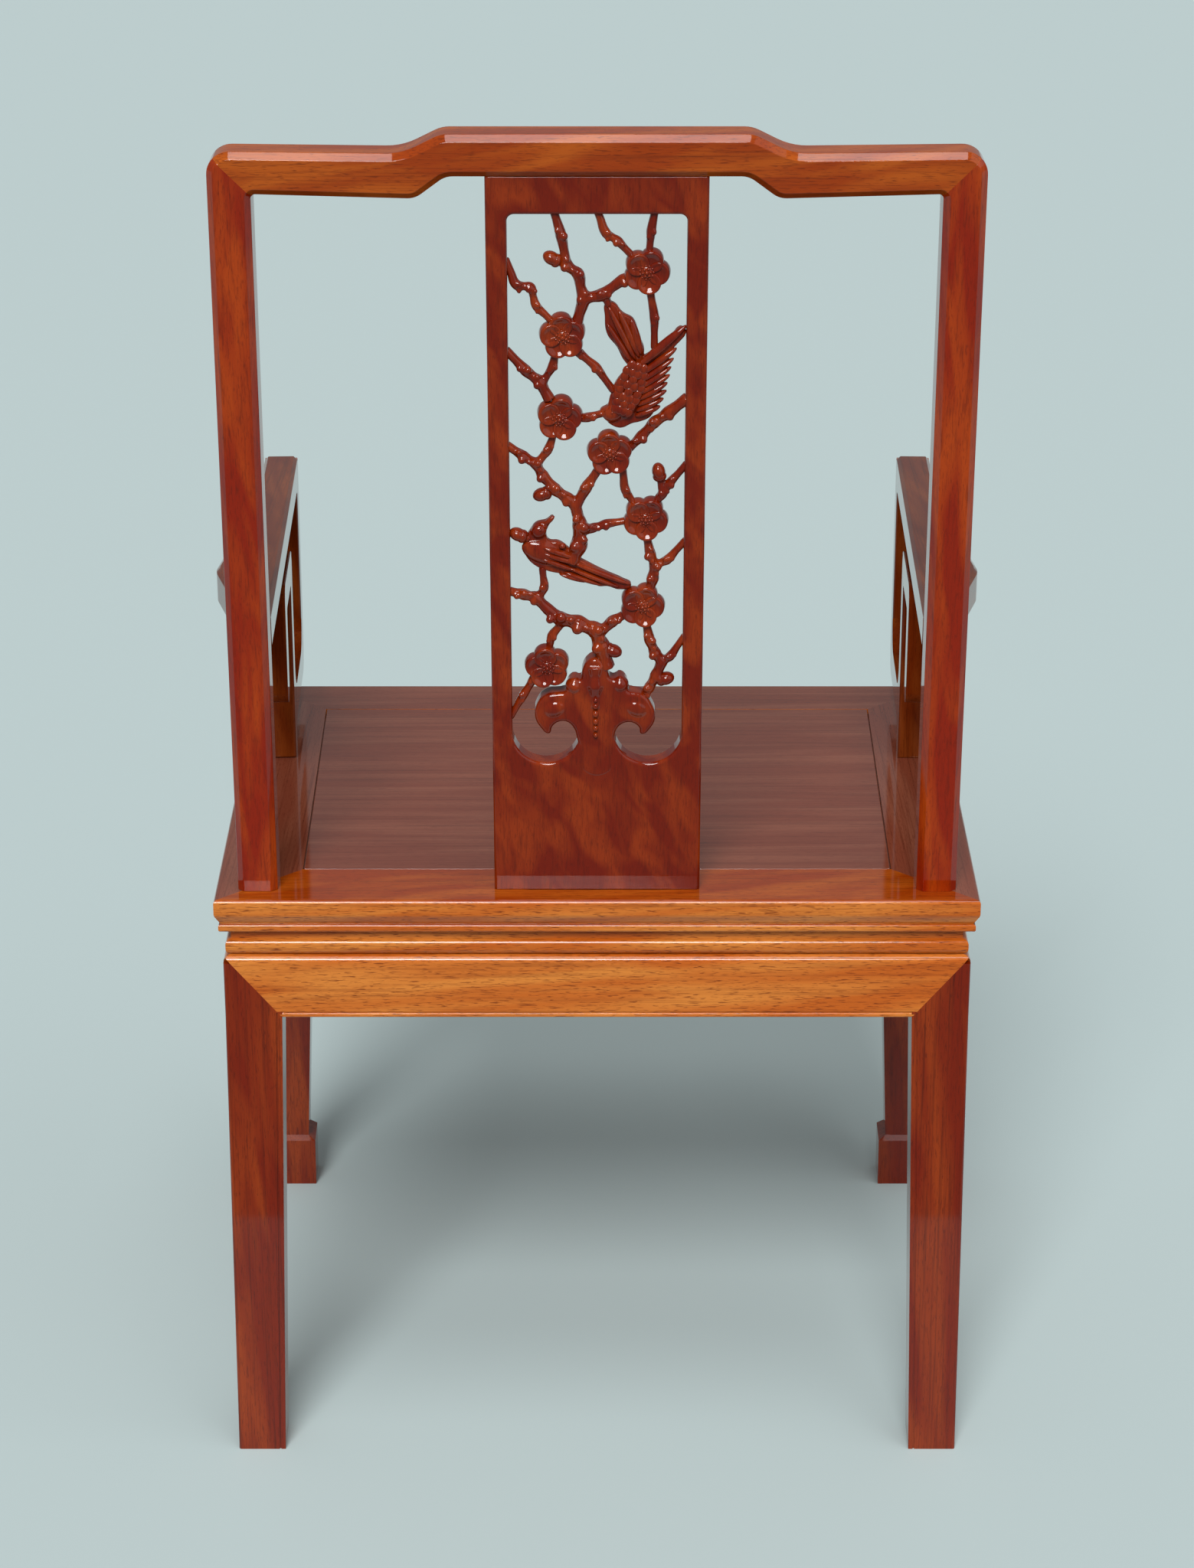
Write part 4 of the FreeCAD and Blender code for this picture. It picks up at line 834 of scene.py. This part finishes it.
def cloud_scroll():
    """The scroll under the flowers: a rounded finger between two curled heads, with a string of drops."""
    head = plate(scroll_outline, *scroll_depths, scroll_round)
    only(head)
    bpy.ops.object.mode_set(mode="EDIT")
    bpy.ops.mesh.select_all(action="SELECT")
    bpy.ops.mesh.bisect(plane_co=(0, 0, -scroll_front * MM), plane_no=(0, 0, 1), use_fill=True,
                        clear_inner=True)
    bpy.ops.object.mode_set(mode="OBJECT")
    body = [head, limb(finger, *finger_form)] + pebbles(scroll_masses)
    skin = blended(joined(body, "scroll"), scroll_voxel)
    drops = []
    for up, size in scroll_drops:
        reach = (size * drop_shares[0], size * drop_shares[1], drop_out)
        drops.append(pebble(bench(drops_across, up, drops_depth), reach))
    smoothed(*drops)
    return [skin] + drops


def pale_floor():
    """A wide matt floor, pale grey as the wall in the photograph."""
    bpy.ops.mesh.primitive_plane_add(size=floor_size, location=(0, floor_end - floor_size / 2, 0))
    bpy.ops.object.transform_apply(location=True, rotation=False, scale=False)
    floor = bpy.context.object
    floor.name = "floor"
    material = bpy.data.materials.new("matt_pale_floor")
    material.use_nodes = True
    shader = material.node_tree.nodes["Principled BSDF"]
    shader.inputs["Base Color"].default_value = linear(floor_colour)
    shader.inputs["Roughness"].default_value = floor_roughness
    shader.inputs["Specular IOR Level"].default_value = floor_specular
    floor.data.materials.append(material)


def studio_light():
    """A soft high light and a ceiling light from behind the camera, a weak side light and a dim room."""
    world = bpy.data.worlds.new("studio")
    bpy.context.scene.world = world
    world.use_nodes = True
    tree = world.node_tree
    room = tree.nodes["Background"]
    room.inputs["Color"].default_value = linear(room_colour)
    room.inputs["Strength"].default_value = room_strength
    backdrop = add(tree, "ShaderNodeBackground",
                   {"Color": linear(backdrop_colour), "Strength": backdrop_strength})
    seen = add(tree, "ShaderNodeLightPath", {})
    both = add(tree, "ShaderNodeMixShader", {},
               {0: seen.outputs["Is Camera Ray"], 1: room.outputs[0], 2: backdrop.outputs[0]})
    tree.links.new(both.outputs[0], tree.nodes["World Output"].inputs["Surface"])
    for name, (strength, spread, aim) in lamps.items():
        lamp = bpy.data.lights.new(name, "SUN")
        lamp.energy = strength
        lamp.angle = math.radians(spread)
        holder = bpy.data.objects.new(name, lamp)
        holder.rotation_euler = Vector(aim).to_track_quat("-Z", "Y").to_euler()
        bpy.context.scene.collection.objects.link(holder)


def photograph_camera():
    """The camera behind the chair, level from side to side and turned down to the seat."""
    lens = bpy.data.cameras.new("camera")
    lens.lens = camera_lens
    lens.sensor_width = camera_sensor
    lens.clip_end = camera_reach
    camera = bpy.data.objects.new("camera", lens)
    camera.location = (0, seat_rear_y + camera_behind_seat, camera_height)
    camera.rotation_euler = (math.pi / 2 - camera_pitch_down, 0, math.pi)
    bpy.context.scene.collection.objects.link(camera)
    bpy.context.scene.camera = camera


solid_surfaces = {name: surface_of(name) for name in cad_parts}
for name in sorted(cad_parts):
    if name == "splat":
        wood = splat_board()
    elif name.startswith("leg"):
        wood = leg_under_aprons(name)
    else:
        wood = merged_copy(name)
    finished(eased(wood, name, solid_surfaces), name)
carved([branches()], "splat_branches")
carved(blossoms(), "splat_blossoms")
carved(birds(), "splat_birds")
carved(cloud_scroll(), "splat_scroll")
pale_floor()
studio_light()
photograph_camera()
bpy.context.scene.view_settings.view_transform = "Standard"
